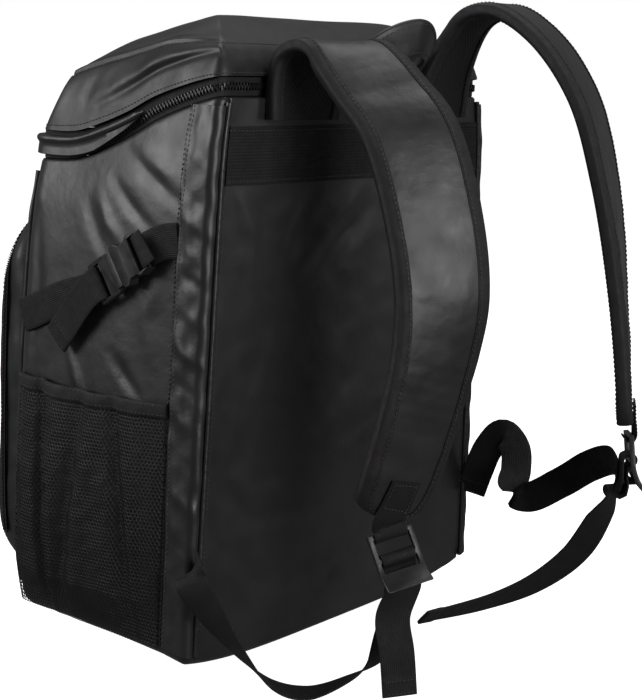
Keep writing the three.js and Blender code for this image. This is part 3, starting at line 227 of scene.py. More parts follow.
@dataclass(frozen=True)
class Form:
    """Sizes of the tub and the surfaces that everything on it follows, in millimetres."""

    width: float = 344.0
    depth: float = 192.0
    height: float = 394.0
    front_drop: float = 56.0
    front_corner: float = 18.0
    back_corner: float = 8.0
    side_bulge: float = 6.0
    front_bulge: float = 6.0
    back: float = 91.968
    tub_back: float = 86.668
    gap: float = 0.3
    hinge_share: float = 0.71
    lid_setback: float = 4.0
    widths: tuple[tuple[float, float], ...] = (
        (0, 1), (0.27, 0.981), (0.47, 0.967), (0.73, 0.951), (0.9, 0.935), (1, 0.905),
    )
    rim_fall: tuple[tuple[float, float], ...] = (
        (0, 0), (0.11, 0.09), (0.22, 0.21), (0.35, 0.38), (0.47, 0.59), (0.61, 0.79), (0.76, 0.95), (1, 1),
    )
    seam: tuple[tuple[float, float], ...] = (
        (0, 66), (70, 66), (146, 64.5), (217, 64.3), (300, 63.3), (389, 64.2),
    )

    @property
    def half_width(self) -> float:
        """Half of the bag's width."""
        return self.width / 2

    @property
    def front(self) -> float:
        """Place of the front plane."""
        return self.back - self.depth

    def rim(self, y: Array) -> Array:
        """Height of the tub's rim, which falls from the back to the front."""
        keys, drops = zip(*self.rim_fall)
        return self.height - self.front_drop * follow(keys, drops, (self.back - y) / self.depth)

    def half(self, level: Array) -> Array:
        """Half width at a level of the height."""
        keys, halves = zip(*self.widths)
        return self.half_width * follow(keys, halves, level)

    def belly(self, level: Array) -> Array:
        """Bulge over the height, sin(pi*level)^0.8."""
        return np.sin(math.pi * np.clip(level, 0, 1)) ** 0.8

    def front_at(self, level: Array) -> Array:
        """Front plane with its bulge."""
        return self.front - self.front_bulge * self.belly(level)

    def swell(self, y: Array, level: Array) -> Array:
        """Bulge of a side panel, fullest at its middle."""
        middle = (self.back + self.front) / 2
        return self.side_bulge * self.belly(level) * (1 - ((y - middle) / (self.depth / 2)) ** 2)

    def seam_at(self, z: Array) -> Array:
        """Place of the upright seam between the side panel and the gusset."""
        keys, places = zip(*self.seam)
        return np.interp(z, keys, places)

    def on_side(self, side: Side, y: Array, z: Array, lift: Array) -> Array:
        """Places over a side panel.

        The front corner is turned through asin(turn), where turn is how far y is into the corner.

        Args:
            side: Which side of the bag.
            y: Depth of each place.
            z: Height of each place.
            lift: Distance out of the surface.

        Returns:
            Points, with three columns in the last axis.
        """
        y, z, lift = np.broadcast_arrays(*(np.asarray(v, float) for v in (y, z, lift)))
        level = z / self.rim(y)
        turn = np.clip((self.front_at(level) + self.front_corner - y) / self.front_corner, 0, 0.98)
        out = np.sqrt(1 - turn**2)
        x = self.half(level) - self.front_corner * (1 - out) + self.swell(y, level) * out
        return np.stack([side.value * (x + out * lift), y - turn * lift, z], axis=-1)

    def ring(self, level: Array, inset: Array, counts: Sequence[int] = (14, 6, 84, 12, 70, 24),
             extra: float = 0.0) -> tuple[Array, Array, Array, Array]:
        """Rounded outlines seen from above, anticlockwise from the hinge's left end.

        Args:
            level: Level of each ring, as a column.
            inset: Distance inside the surface of each ring, as a column.
            counts: Steps along half the back, a back corner, a side, a front corner, the front, the hinge.
            extra: How much further out all sides lie, as the lid's do.

        Returns:
            x and y of each point, and the two parts of its outward direction.
        """
        level, inset = (np.asarray(v, float).reshape(-1, 1) for v in (level, inset))
        x = self.half(level) + extra - inset
        low = (self.front_at(level) if extra == 0 else self.front + self.lid_setback) + inset
        high = self.tub_back + extra - inset
        rf = np.maximum(self.front_corner - inset, 3)
        rb = np.maximum(self.back_corner + extra - inset, 2)
        hinge = self.hinge_share * x
        back, corner_b, side, corner_f, front, joint = counts

        def line(x0: Array, y0: Array, x1: Array, y1: Array, count: int, nx: float, ny: float) -> list[Array]:
            """Straight run without its last point."""
            share = np.arange(count) / count
            flat = np.ones_like(share) * np.ones_like(x0)
            return [x0 + (x1 - x0) * share, (y0 + (y1 - y0) * share) * np.ones_like(flat),
                    nx * flat, ny * flat]

        def arc(cx: Array, cy: Array, radius: Array, quarter: int, count: int) -> list[Array]:
            """Quarter circle without its last point."""
            angle = (quarter + np.arange(count) / count) * math.pi / 2
            c, s = np.cos(angle) * np.ones_like(cx), np.sin(angle) * np.ones_like(cx)
            return [cx + radius * c, cy + radius * s, c, s]

        runs = [
            line(-hinge, high, rb - x, high, back, 0, 1),
            arc(rb - x, high - rb, rb, 1, corner_b),
            line(-x, high - rb, -x, low + rf, side, -1, 0),
            arc(rf - x, low + rf, rf, 2, corner_f),
            line(rf - x, low, x - rf, low, front, 0, -1),
            arc(x - rf, low + rf, rf, 3, corner_f),
            line(x, low + rf, x, high - rb, side, 1, 0),
            arc(x - rb, high - rb, rb, 0, corner_b),
            line(x - rb, high, hinge, high, back, 0, 1),
            line(hinge, high, -hinge, high, joint, 0, 1),
        ]
        return tuple(np.concatenate([run[k] for run in runs], axis=1) for k in range(4))


FORM = Form()


# Meshes


class Skin:
    """Points and faces of one mesh, gathered from grids, in bag space."""

    def __init__(self) -> None:
        """Starts with nothing."""
        self.points: list[Array] = []
        self.count = 0
        self.quads: list[Array] = []
        self.quad_uv: list[Array] = []
        self.tris: list[Array] = []
        self.tri_uv: list[Array] = []

    def _take(self, points: Array) -> Array:
        """Keeps points and returns their numbers, in the same layout."""
        flat = points.reshape(-1, 3)
        numbers = self.count + np.arange(len(flat)).reshape(points.shape[:-1])
        self.points.append(flat)
        self.count += len(flat)
        return numbers

    def patch(self, numbers: Array, uv: Array, flip: bool = False) -> None:
        """Quads over a grid of point numbers.

        Args:
            numbers: Point numbers in rows and columns.
            uv: Pattern coordinates of each, in metres.
            flip: Whether the faces turn the other way.
        """
        corners = ((slice(None, -1), slice(None, -1)), (slice(None, -1), slice(1, None)),
                   (slice(1, None), slice(1, None)), (slice(1, None), slice(None, -1)))
        quads = np.stack([numbers[c] for c in corners], axis=-1).reshape(-1, 4)
        spots = np.stack([uv[c] for c in corners], axis=-2).reshape(-1, 4, 2)
        turn = slice(None, None, -1 if flip else 1)
        self.quads.append(quads[:, turn])
        self.quad_uv.append(spots[:, turn])

    def grid(self, points: Array, uv: Array | None = None, wrap: bool = False, flip: bool = False) -> Array:
        """A sheet of points in rows and columns, joined round on itself if wrap is true.

        Args:
            points: Rows and columns of points.
            uv: Pattern coordinates of each point, in metres.
            wrap: Whether the last column meets the first.
            flip: Whether the faces turn the other way.

        Returns:
            The numbers of the points.
        """
        numbers = self._take(points)
        uv = np.zeros(points.shape[:-1] + (2,)) if uv is None else uv
        if wrap:
            self.patch(np.concatenate([numbers, numbers[:, :1]], 1), np.concatenate([uv, uv[:, :1]], 1), flip)
        else:
            self.patch(numbers, uv, flip)
        return numbers

    def cap(self, ring: Array, points: Array, flip: bool) -> None:
        """Closes a ring of points with triangles round its middle.

        Args:
            ring: Numbers of the ring's points.
            points: The ring's points.
            flip: Whether the faces turn the other way.
        """
        middle = self._take(points.mean(axis=0, keepdims=True))[0]
        fan = np.stack([np.full(len(ring), middle), ring, np.roll(ring, -1)], axis=-1)
        self.tris.append(fan[:, ::-1] if flip else fan)
        self.tri_uv.append(np.zeros((len(fan), 3, 2)))

    def tube(self, rings: Array, uv: Array | None = None) -> None:
        """Closed body through rings, capped at both ends.

        Args:
            rings: Rows of closed rings.
            uv: Pattern coordinates of each point, in metres.
        """
        numbers = self.grid(rings, uv, wrap=True)
        self.cap(numbers[0], rings[0], True)
        self.cap(numbers[-1], rings[-1], False)

    def sheet(self, front: Array, back: Array, uv: Array | None = None) -> None:
        """Closed cloth between two grids of points, with a strip round its edge.

        Args:
            front: Grid of the side that shows.
            back: Grid of the other side.
            uv: Pattern coordinates of each point, in metres.
        """
        uv = np.zeros(front.shape[:-1] + (2,)) if uv is None else uv
        top, under = self.grid(front, uv), self.grid(back, uv, flip=True)
        for edge, flip in ((np.s_[0, :], True), (np.s_[-1, :], False),
                           (np.s_[:, 0], False), (np.s_[:, -1], True)):
            self.patch(np.stack([top[edge], under[edge]]), np.stack([uv[edge], uv[edge]]), flip)

    def copies(self, shape: "Skin", centres: Array, ways: Sequence[Array], sizes: Sequence[float]) -> None:
        """Many copies of one small closed shape.

        Each copy's point is centre + x*size0*way0 + y*size1*way1 + z*size2*way2.

        Args:
            shape: The small shape, within -1 to 1.
            centres: Middle of each copy.
            ways: Three direction arrays, a row for each copy.
            sizes: Half lengths along the three directions.
        """
        local = np.concatenate(shape.points)
        points = centres[:, None, :] + sum(
            local[None, :, k, None] * sizes[k] * ways[k][:, None, :] for k in range(3)
        )
        numbers = self._take(points)[:, 0]
        for faces, mine, uvs in ((shape.quads, self.quads, self.quad_uv),
                                 (shape.tris, self.tris, self.tri_uv)):
            if faces:
                block = np.concatenate(faces)
                many = (numbers[:, None, None] + block[None]).reshape(-1, block.shape[1])
                mine.append(many)
                uvs.append(np.zeros(many.shape + (2,)))

    def build(self, name: str, sharp: float = 50.0) -> bpy.types.Object:
        """Makes the mesh object in model space, with its faces turned outwards by its volume's sign.

        Args:
            name: Name of the object.
            sharp: Angle in degrees over which an edge shows as sharp.

        Returns:
            The new object.
        """
        points = HANG.place(np.concatenate(self.points))
        quads = np.concatenate(self.quads) if self.quads else np.zeros((0, 4), int)
        tris = np.concatenate(self.tris) if self.tris else np.zeros((0, 3), int)
        quad_uv = np.concatenate(self.quad_uv) if self.quads else np.zeros((0, 4, 2))
        tri_uv = np.concatenate(self.tri_uv) if self.tris else np.zeros((0, 3, 2))
        triangles = np.concatenate([quads[:, :3], quads[:, [0, 2, 3]], tris])
        a, b, c = (points[triangles[:, k]] for k in range(3))
        if np.einsum("ij,ij->i", a, np.cross(b, c)).sum() < 0:
            quads, tris, quad_uv, tri_uv = quads[:, ::-1], tris[:, ::-1], quad_uv[:, ::-1], tri_uv[:, ::-1]
        mesh = bpy.data.meshes.new(name)
        mesh.from_pydata(points.tolist(), [], quads.tolist() + tris.tolist())
        layer = mesh.uv_layers.new(name="cloth")
        layer.data.foreach_set("uv", np.concatenate([quad_uv.ravel(), tri_uv.ravel()]).astype(np.float32))
        mesh.polygons.foreach_set("use_smooth", np.ones(len(mesh.polygons), bool))
        mesh.set_sharp_from_angle(angle=math.radians(sharp))
        mesh.validate()
        return link(bpy.data.objects.new(name, mesh))


def bead(sides: int = 6, rows: int = 4, squareness: float = 1.0) -> Skin:
    """A small rounded body within -1 to 1: a sphere whose sines are raised to a power.

    Args:
        sides: Steps round it.
        rows: Steps along it.
        squareness: Power of the sines, under 1 for a boxier shape.

    Returns:
        The closed shape.
    """
    up = np.linspace(0, math.pi, rows + 1)[1:-1, None]
    turn = np.linspace(0, 2 * math.pi, sides, endpoint=False)[None]

    def power(v: Array) -> Array:
        """Value raised to the power, with its sign kept."""
        return np.sign(v) * np.abs(v) ** squareness

    ring = [power(np.cos(up)) * np.ones_like(turn), power(np.sin(up)) * power(np.cos(turn)),
            power(np.sin(up)) * power(np.sin(turn))]
    skin = Skin()
    points = np.stack(ring, axis=-1)
    numbers = skin.grid(points, wrap=True)
    ends = skin._take(np.array([[1.0, 0, 0], [-1.0, 0, 0]]))
    first = np.stack([np.full(sides, ends[0]), numbers[0], np.roll(numbers[0], -1)], -1)
    last = np.stack([np.full(sides, ends[1]), np.roll(numbers[-1], -1), numbers[-1]], -1)
    skin.tris += [first[:, ::-1], last[:, ::-1]]
    skin.tri_uv += [np.zeros((sides, 3, 2))] * 2
    return skin


# Routes


@dataclass
class Route:
    """A path with the way across it and the way out of it at each station."""

    at: Array
    side: Array
    out: Array
    share: Array
    run: Array

    @property
    def length(self) -> float:
        """Length of the path."""
        return float(self.run[-1])

    def lay(self, across: Array, out: Array) -> Array:
        """Points at + across*side + out*way out, a row for each station."""
        return (self.at[:, None] + across[..., None] * self.side[:, None]
                + out[..., None] * self.out[:, None])


def through(points: Array, share: Array, centripetal: bool) -> Array:
    """Curve through points, with a stretch of equal share between each two.

    Each stretch is a cubic whose end slopes come from the neighbouring points: half the step between
    them, or for the centripetal kind weighted by the square roots of the three distances.

    Args:
        points: The points, a row each.
        share: Places along the curve, from 0 to 1.
        centripetal: Which kind of slope.

    Returns:
        A point for each share.
    """
    points = np.asarray(points, float)
    ends = np.vstack([2 * points[:1] - points[1:2], points, 2 * points[-1:] - points[-2:-1]])
    where = np.clip(share, 0, 1) * (len(points) - 1)
    i = np.minimum(where.astype(int), len(points) - 2)
    t = (where - i)[:, None]
    p0, p1, p2, p3 = (ends[i + k] for k in range(4))
    if centripetal:
        gaps = [np.maximum(np.linalg.norm(b - a, axis=1, keepdims=True), 1e-6) ** 0.5
                for a, b in ((p0, p1), (p1, p2), (p2, p3))]
        m1 = gaps[1] * ((p1 - p0) / gaps[0] - (p2 - p0) / (gaps[0] + gaps[1]) + (p2 - p1) / gaps[1])
        m2 = gaps[1] * ((p2 - p1) / gaps[1] - (p3 - p1) / (gaps[1] + gaps[2]) + (p3 - p2) / gaps[2])
    else:
        m1, m2 = (p2 - p0) / 2, (p3 - p1) / 2
    return (p1 + m1 * t + (-3 * p1 + 3 * p2 - 2 * m1 - m2) * t**2
            + (2 * p1 - 2 * p2 + m1 + m2) * t**3)


def route(points: Array, across: Array, spacing: float, first_way: Array | None = None) -> Route:
    """Stations an equal distance apart along a curve.

    Args:
        points: Points that the curve passes.
        across: Way across at each of them.
        spacing: Distance between stations.
        first_way: Way of the path at its start, if it isn't the curve's own.

    Returns:
        The route.
    """
    fine = np.linspace(0, 1, 3000)
    reached = travelled(through(points, fine, True))
    run = np.linspace(0, reached[-1], max(int(reached[-1] / spacing), 8) + 1)
    share = np.interp(run, reached, fine)
    at = through(points, share, True)
    way = unit(np.gradient(at, axis=0))
    if first_way is not None:
        fade = np.clip(1 - run / 12, 0, 1)[:, None]
        way = unit(way * (1 - fade) + np.asarray(first_way, float) * fade)
    side = through(across, share, False)
    side = unit(side - (side * way).sum(1, keepdims=True) * way)
    return Route(at, side, unit(np.cross(side, way)), share, run)


def tape_ring(width: float, thick: float, steps: int = 10) -> Array:
    """Section of a flat tape with round edges, as rows of across and out."""
    half, r = width / 2, thick / 2
    flat = np.linspace(-(half - r), half - r, steps)
    turn = np.linspace(-math.pi / 2, math.pi / 2, 5)[1:-1]
    right = np.stack([half - r + r * np.cos(turn), r * np.sin(turn)], 1)
    top = np.stack([flat[::-1], np.full(steps, r)], 1)
    left = np.stack([-(half - r) - r * np.cos(turn), -r * np.sin(turn)], 1)
    return np.concatenate([np.stack([flat, np.full(steps, -r)], 1), right, top, left])


# Finishes


class Recipe:
    """A material's node tree under construction."""

    def __init__(self, name: str, colour: Sequence[float], roughness: float, **sockets: float) -> None:
        """Starts a material.

        Args:
            name: Name of the material.
            colour: Base colour.
            roughness: Roughness of the shader.
            **sockets: Other sockets of the shader, with underscores for spaces.
        """
        self.material = bpy.data.materials.new(name)
        self.material.use_nodes = True
        self.tree = self.material.node_tree
        self.shader = self.tree.nodes["Principled BSDF"]
        self.shader.inputs["Base Color"].default_value = (*colour, 1)
        self.shader.inputs["Roughness"].default_value = roughness
        for key, value in sockets.items():
            self.shader.inputs[key.replace("_", " ")].default_value = value
        self.bumps: list[bpy.types.Node] = []

    def node(self, kind: str, inputs: dict | None = None, **settings: object) -> bpy.types.Node:
        """Adds a node.

        Args:
            kind: Type of the node without its prefix.
            inputs: Socket name or number to a value or an output socket.
            **settings: Attributes of the node.

        Returns:
            The node.
        """
        made = self.tree.nodes.new("ShaderNode" + kind)
        for key, value in settings.items():
            setattr(made, key, value)
        for key, value in (inputs or {}).items():
            if isinstance(value, bpy.types.NodeSocket):
                self.tree.links.new(value, made.inputs[key])
            else:
                made.inputs[key].default_value = value
        return made

    def place(self) -> bpy.types.NodeSocket:
        """Object coordinates."""
        return self.node("TexCoord").outputs["Object"]

    def cloth(self) -> bpy.types.NodeSocket:
        """The cloth's own coordinates in metres: along it and across it."""
        return self.node("UVMap", uv_map="cloth").outputs["UV"]

    def noise(self, where: bpy.types.NodeSocket, millimetres: float,
              detail: float = 2.0) -> bpy.types.NodeSocket:
        """Noise with spots of about the given size."""
        inputs = {"Vector": where, "Scale": 1 / (millimetres * MM), "Detail": detail, "Roughness": 0.55}
        return self.node("TexNoise", inputs).outputs["Fac"]

    def math(self, operation: str, a: object, b: object = 0.0, c: object = 0.0) -> bpy.types.NodeSocket:
        """One sum."""
        return self.node("Math", {0: a, 1: b, 2: c}, operation=operation).outputs[0]

    def wave(self, where: bpy.types.NodeSocket, axis: str, millimetres: float) -> bpy.types.NodeSocket:
        """Ribs across an axis, as |sin(pi*v/pitch)|."""
        split = self.node("SeparateXYZ", {0: where}).outputs[axis]
        turned = self.math("MULTIPLY", split, math.pi / (millimetres * MM))
        return self.math("ABSOLUTE", self.math("SINE", turned))

    def bump(self, height: bpy.types.NodeSocket, millimetres: float) -> None:
        """Adds a relief of the given depth over those before it."""
        inputs = {"Height": height, "Distance": millimetres * MM, "Strength": 1.0}
        if self.bumps:
            inputs["Normal"] = self.bumps[-1].outputs["Normal"]
        self.bumps.append(self.node("Bump", inputs))

    def vary(self, socket: str, source: bpy.types.NodeSocket, low: float, high: float) -> None:
        """Maps a 0.3 to 0.7 source onto one of the shader's sockets."""
        inputs = {"Value": source, "From Min": 0.3, "From Max": 0.7, "To Min": low, "To Max": high}
        self.tree.links.new(self.node("MapRange", inputs).outputs[0], self.shader.inputs[socket])

    def tint(self, source: bpy.types.NodeSocket, dark: Sequence[float], light: Sequence[float]) -> None:
        """Colours the surface between two colours."""
        ramp = self.node("ValToRGB", {"Fac": source})
        ramp.color_ramp.elements[0].position, ramp.color_ramp.elements[1].position = 0.3, 0.7
        ramp.color_ramp.elements[0].color = (*dark, 1)
        ramp.color_ramp.elements[1].color = (*light, 1)
        self.tree.links.new(ramp.outputs["Color"], self.shader.inputs["Base Color"])

    def done(self) -> bpy.types.Material:
        """Joins the relief to the shader and returns the material."""
        if self.bumps:
            self.tree.links.new(self.bumps[-1].outputs["Normal"], self.shader.inputs["Normal"])
        return self.material


@dataclass(frozen=True)
class CoatedCloth:
    """Woven cloth with a soft smooth coating: fine grain, faint weave, small uneven creases."""

    name: str = "coated_cloth"
    dark: tuple[float, float, float] = (0.0085, 0.0085, 0.0090)
    light: tuple[float, float, float] = (0.0150, 0.0150, 0.0158)
    gloss: tuple[float, float] = (0.34, 0.46)
    grain: float = 0.9
    crumple: float = 0.35

    def make(self) -> bpy.types.Material:
        """Builds the material."""
        recipe = Recipe(self.name, self.light, self.gloss[1], Specular_IOR_Level=0.5)
        place = recipe.place()
        patches = recipe.noise(place, 55, 3)
        recipe.tint(patches, self.dark, self.light)
        recipe.vary("Roughness", recipe.noise(place, 18, 4), *self.gloss)
        recipe.bump(recipe.noise(place, 26, 2), self.crumple * 1.6)
        recipe.bump(recipe.noise(place, 7, 3), self.crumple * 0.55)
        cells = recipe.node("TexVoronoi", {"Vector": place, "Scale": 1 / (self.grain * MM)})
        recipe.bump(cells.outputs["Distance"], 0.028)
        return recipe.done()


@dataclass(frozen=True)
class Webbing:
    """Woven webbing with ribs along it and a thread across every step."""

    name: str = "webbing"
    colour: tuple[float, float, float] = (0.0058, 0.0058, 0.0062)
    rib: float = 1.45
    pick: float = 1.1
    depth: float = 0.22

    def make(self) -> bpy.types.Material:
        """Builds the material."""
        recipe = Recipe(self.name, self.colour, 0.72, Specular_IOR_Level=0.28)
        cloth, place = recipe.cloth(), recipe.place()
        ribs = recipe.wave(cloth, "Y", self.rib)
        picks = recipe.wave(cloth, "X", self.pick)
        weave = recipe.math("MULTIPLY", ribs, recipe.math("MULTIPLY_ADD", picks, 0.45, 0.55))
        recipe.bump(weave, self.depth)
        recipe.bump(recipe.noise(place, 0.5, 1), 0.04)
        recipe.tint(recipe.noise(place, 14, 3), self.colour, tuple(1.6 * v for v in self.colour))
        recipe.vary("Roughness", recipe.noise(place, 5, 2), 0.6, 0.78)
        return recipe.done()


@dataclass(frozen=True)
class Tape:
    """Ribbed binding tape with a faint warm cast."""

    name: str = "binding_tape"
    dark: tuple[float, float, float] = (0.0066, 0.0056, 0.0062)
    light: tuple[float, float, float] = (0.0125, 0.0100, 0.0115)

    def make(self) -> bpy.types.Material:
        """Builds the material."""
        recipe = Recipe(self.name, self.light, 0.64, Specular_IOR_Level=0.34)
        cloth, place = recipe.cloth(), recipe.place()
        recipe.bump(recipe.wave(cloth, "X", 0.75), 0.10)
        recipe.bump(recipe.noise(place, 6, 3), 0.25)
        recipe.tint(recipe.noise(place, 9, 3), self.dark, self.light)
        recipe.vary("Roughness", recipe.noise(place, 4, 2), 0.52, 0.7)
        return recipe.done()


@dataclass(frozen=True)
class Netting:
    """Knitted net thread."""

    name: str = "net_thread"
    colour: tuple[float, float, float] = (0.006, 0.006, 0.0065)

    def make(self) -> bpy.types.Material:
        """Builds the material."""
        recipe = Recipe(self.name, self.colour, 0.5, Specular_IOR_Level=0.4)
        place = recipe.place()
        recipe.bump(recipe.noise(place, 0.35, 1), 0.05)
        recipe.tint(recipe.noise(place, 12, 2), self.colour, tuple(1.5 * v for v in self.colour))
        return recipe.done()


@dataclass(frozen=True)
class AirMesh:
    """Thick knitted mesh with rows of round holes, painted near black inside as painted shade."""

    name: str = "air_mesh"
    colour: tuple[float, float, float] = (0.006, 0.006, 0.0066)
    pitch: float = 3.0

    def make(self) -> bpy.types.Material:
        """Builds the material."""
        recipe = Recipe(self.name, self.colour, 0.75, Specular_IOR_Level=0.35)
        cloth, place = recipe.cloth(), recipe.place()
        turned = recipe.node("VectorRotate", {"Vector": cloth, "Angle": math.pi / 4}, rotation_type="Z_AXIS")
        slant = turned.outputs["Vector"]
        holes = recipe.math("MULTIPLY", recipe.wave(slant, "X", self.pitch),
                            recipe.wave(slant, "Y", self.pitch))
        open_part = recipe.math("SMOOTH_MIN", holes, 0.42, 0.2)
        recipe.bump(recipe.math("MULTIPLY", open_part, -1.0), 1.5)
        recipe.bump(recipe.noise(place, 0.6, 2), 0.12)
        # Painted shade: the holes are coloured near black, and the threads between them take 1.6 times the
        # mesh's colour.
        ramp = recipe.node("ValToRGB", {"Fac": holes})
        ramp.color_ramp.elements[0].position, ramp.color_ramp.elements[1].position = 0.35, 0.62
        ramp.color_ramp.elements[0].color = (*(1.6 * v for v in self.colour), 1)
        ramp.color_ramp.elements[1].color = (0.0015, 0.0015, 0.0015, 1)
        recipe.tree.links.new(ramp.outputs["Color"], recipe.shader.inputs["Base Color"])
        return recipe.done()


@dataclass(frozen=True)
class Moulded:
    """Moulded plastic with a fine eroded grain and slightly polished patches."""

    name: str = "moulded_plastic"
    colour: tuple[float, float, float] = (0.011, 0.011, 0.012)
    gloss: tuple[float, float] = (0.28, 0.42)

    def make(self) -> bpy.types.Material:
        """Builds the material."""
        recipe = Recipe(self.name, self.colour, self.gloss[1], Specular_IOR_Level=0.5)
        place = recipe.place()
        recipe.bump(recipe.noise(place, 0.45, 2), 0.02)
        recipe.vary("Roughness", recipe.noise(place, 6, 3), *self.gloss)
        recipe.tint(recipe.noise(place, 9, 2), self.colour, tuple(1.5 * v for v in self.colour))
        return recipe.done()


@dataclass(frozen=True)
class Thread:
    """Sewing thread."""

    name: str = "sewing_thread"
    colour: tuple[float, float, float] = (0.022, 0.022, 0.024)

    def make(self) -> bpy.types.Material:
        """Builds the material."""
        recipe = Recipe(self.name, self.colour, 0.5, Specular_IOR_Level=0.5)
        recipe.bump(recipe.noise(recipe.place(), 0.3, 1), 0.04)
        return recipe.done()


@dataclass(frozen=True)
class Paper:
    """Plain pale floor with a glow of its own, as evenly lit paper has."""

    name: str = "pale_floor"
    colour: tuple[float, float, float] = (0.86, 0.86, 0.865)
    glow: float = 0.95

    def make(self) -> bpy.types.Material:
        """Builds the material."""
        recipe = Recipe(self.name, self.colour, 0.95, Specular_IOR_Level=0.1, Emission_Strength=self.glow)
        recipe.shader.inputs["Emission Color"].default_value = (1, 1, 1, 1)
        recipe.bump(recipe.noise(recipe.place(), 3, 2), 0.02)
        return recipe.done()


@dataclass
class Wardrobe:
    """Every finish, made once."""

    body: bpy.types.Material = field(default_factory=lambda: CoatedCloth().make())
    soft: bpy.types.Material = field(default_factory=lambda: CoatedCloth(
        "strap_cloth", (0.0095, 0.0095, 0.0100), (0.0165, 0.0165, 0.0172), (0.38, 0.5), 0.9, 0.5).make())
    lid: bpy.types.Material = field(default_factory=lambda: CoatedCloth(
        "lid_cloth", (0.0075, 0.0070, 0.0080), (0.0130, 0.0118, 0.0140), (0.42, 0.54), 0.9, 0.4).make())
    web: bpy.types.Material = field(default_factory=lambda: Webbing().make())
    band: bpy.types.Material = field(default_factory=lambda: Webbing(
        "wide_webbing", rib=2.2, pick=1.6).make())
    tape: bpy.types.Material = field(default_factory=lambda: Tape().make())
    net: bpy.types.Material = field(default_factory=lambda: Netting().make())
    air: bpy.types.Material = field(default_factory=lambda: AirMesh().make())
    plastic: bpy.types.Material = field(default_factory=lambda: Moulded().make())
    thread: bpy.types.Material = field(default_factory=lambda: Thread().make())
    floor: bpy.types.Material = field(default_factory=lambda: Paper().make())


def dress(piece: bpy.types.Object, material: bpy.types.Material, slot: str, *nodes: str) -> bpy.types.Object:
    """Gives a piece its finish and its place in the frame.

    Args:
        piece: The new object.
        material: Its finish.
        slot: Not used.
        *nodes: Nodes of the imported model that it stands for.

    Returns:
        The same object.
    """
    piece.data.materials.clear()
    piece.data.materials.append(material)
    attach(piece, "root")
    if nodes:
        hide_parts(*nodes)
    LOG.info("%s: %d faces", piece.name, len(piece.data.polygons))
    return piece


def softened(node: str, name: str, width: float) -> bpy.types.Object:
    """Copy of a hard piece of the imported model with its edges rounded.

    Args:
        node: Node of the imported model.
        name: Name of the copy.
        width: Width of the rounding in millimetres.

    Returns:
        The copy.
    """
    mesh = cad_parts[node].data.copy()
    mesh.name = name
    work = bmesh.new()
    work.from_mesh(mesh)
    bmesh.ops.remove_doubles(work, verts=work.verts, dist=1e-5)
    bmesh.ops.dissolve_limit(work, angle_limit=math.radians(1), verts=work.verts, edges=work.edges)
    work.to_mesh(mesh)
    work.free()
    made = link(bpy.data.objects.new(name, mesh))
    mesh.polygons.foreach_set("use_smooth", np.ones(len(mesh.polygons), bool))
    bevel = made.modifiers.new("rounding", "BEVEL")
    bevel.width, bevel.segments, bevel.limit_method = width * MM, 3, "ANGLE"
    bevel.angle_limit, bevel.harden_normals = math.radians(35), True
    return made


class Seams:
    """Rows of stitches, kept in one skin for each sub-assembly."""

    def __init__(self) -> None:
        """Starts with no stitches."""
        self.skin = Skin()
        self.shape = bead(6, 4)

    def sew(self, path: Array, normal: Array, pitch: float = 3.4, gap: float = 0.9,
            thick: float = 0.42) -> None:
        """Lays stitches along a path.

        Args:
            path: Points of the path on the cloth.
            normal: Way out of the cloth at each.
            pitch: Length of a stitch with its gap.
            gap: Length of the gap.
            thick: Half thickness of the thread.
        """
        run = travelled(path)
        spots = np.arange(pitch / 2, run[-1], pitch)
        if len(spots) < 2:
            return
        centre = read(path, run, spots)
        along = unit(read(path, run, spots + 1) - read(path, run, spots - 1))
        out = unit(read(normal, run, spots))
        out = unit(out - (out * along).sum(1, keepdims=True) * along)
        half = (pitch - gap) / 2
        self.skin.copies(self.shape, centre + out * thick * 0.3, (along, np.cross(out, along), out),
                         (half, thick, thick * 0.8))

    def build(self, name: str, material: bpy.types.Material, slot: str) -> None:
        """Makes the stitches a piece."""
        dress(self.skin.build(name), material, slot)


def settle(rows: Array) -> Array:
    """Places from shares of half the width, of the depth out from the back, and of the height."""
    sizes = np.array([FORM.half_width, FORM.depth, FORM.height])
    return rows[:, :3] * sizes + np.array([0, FORM.back, 0])


# Tub and panels


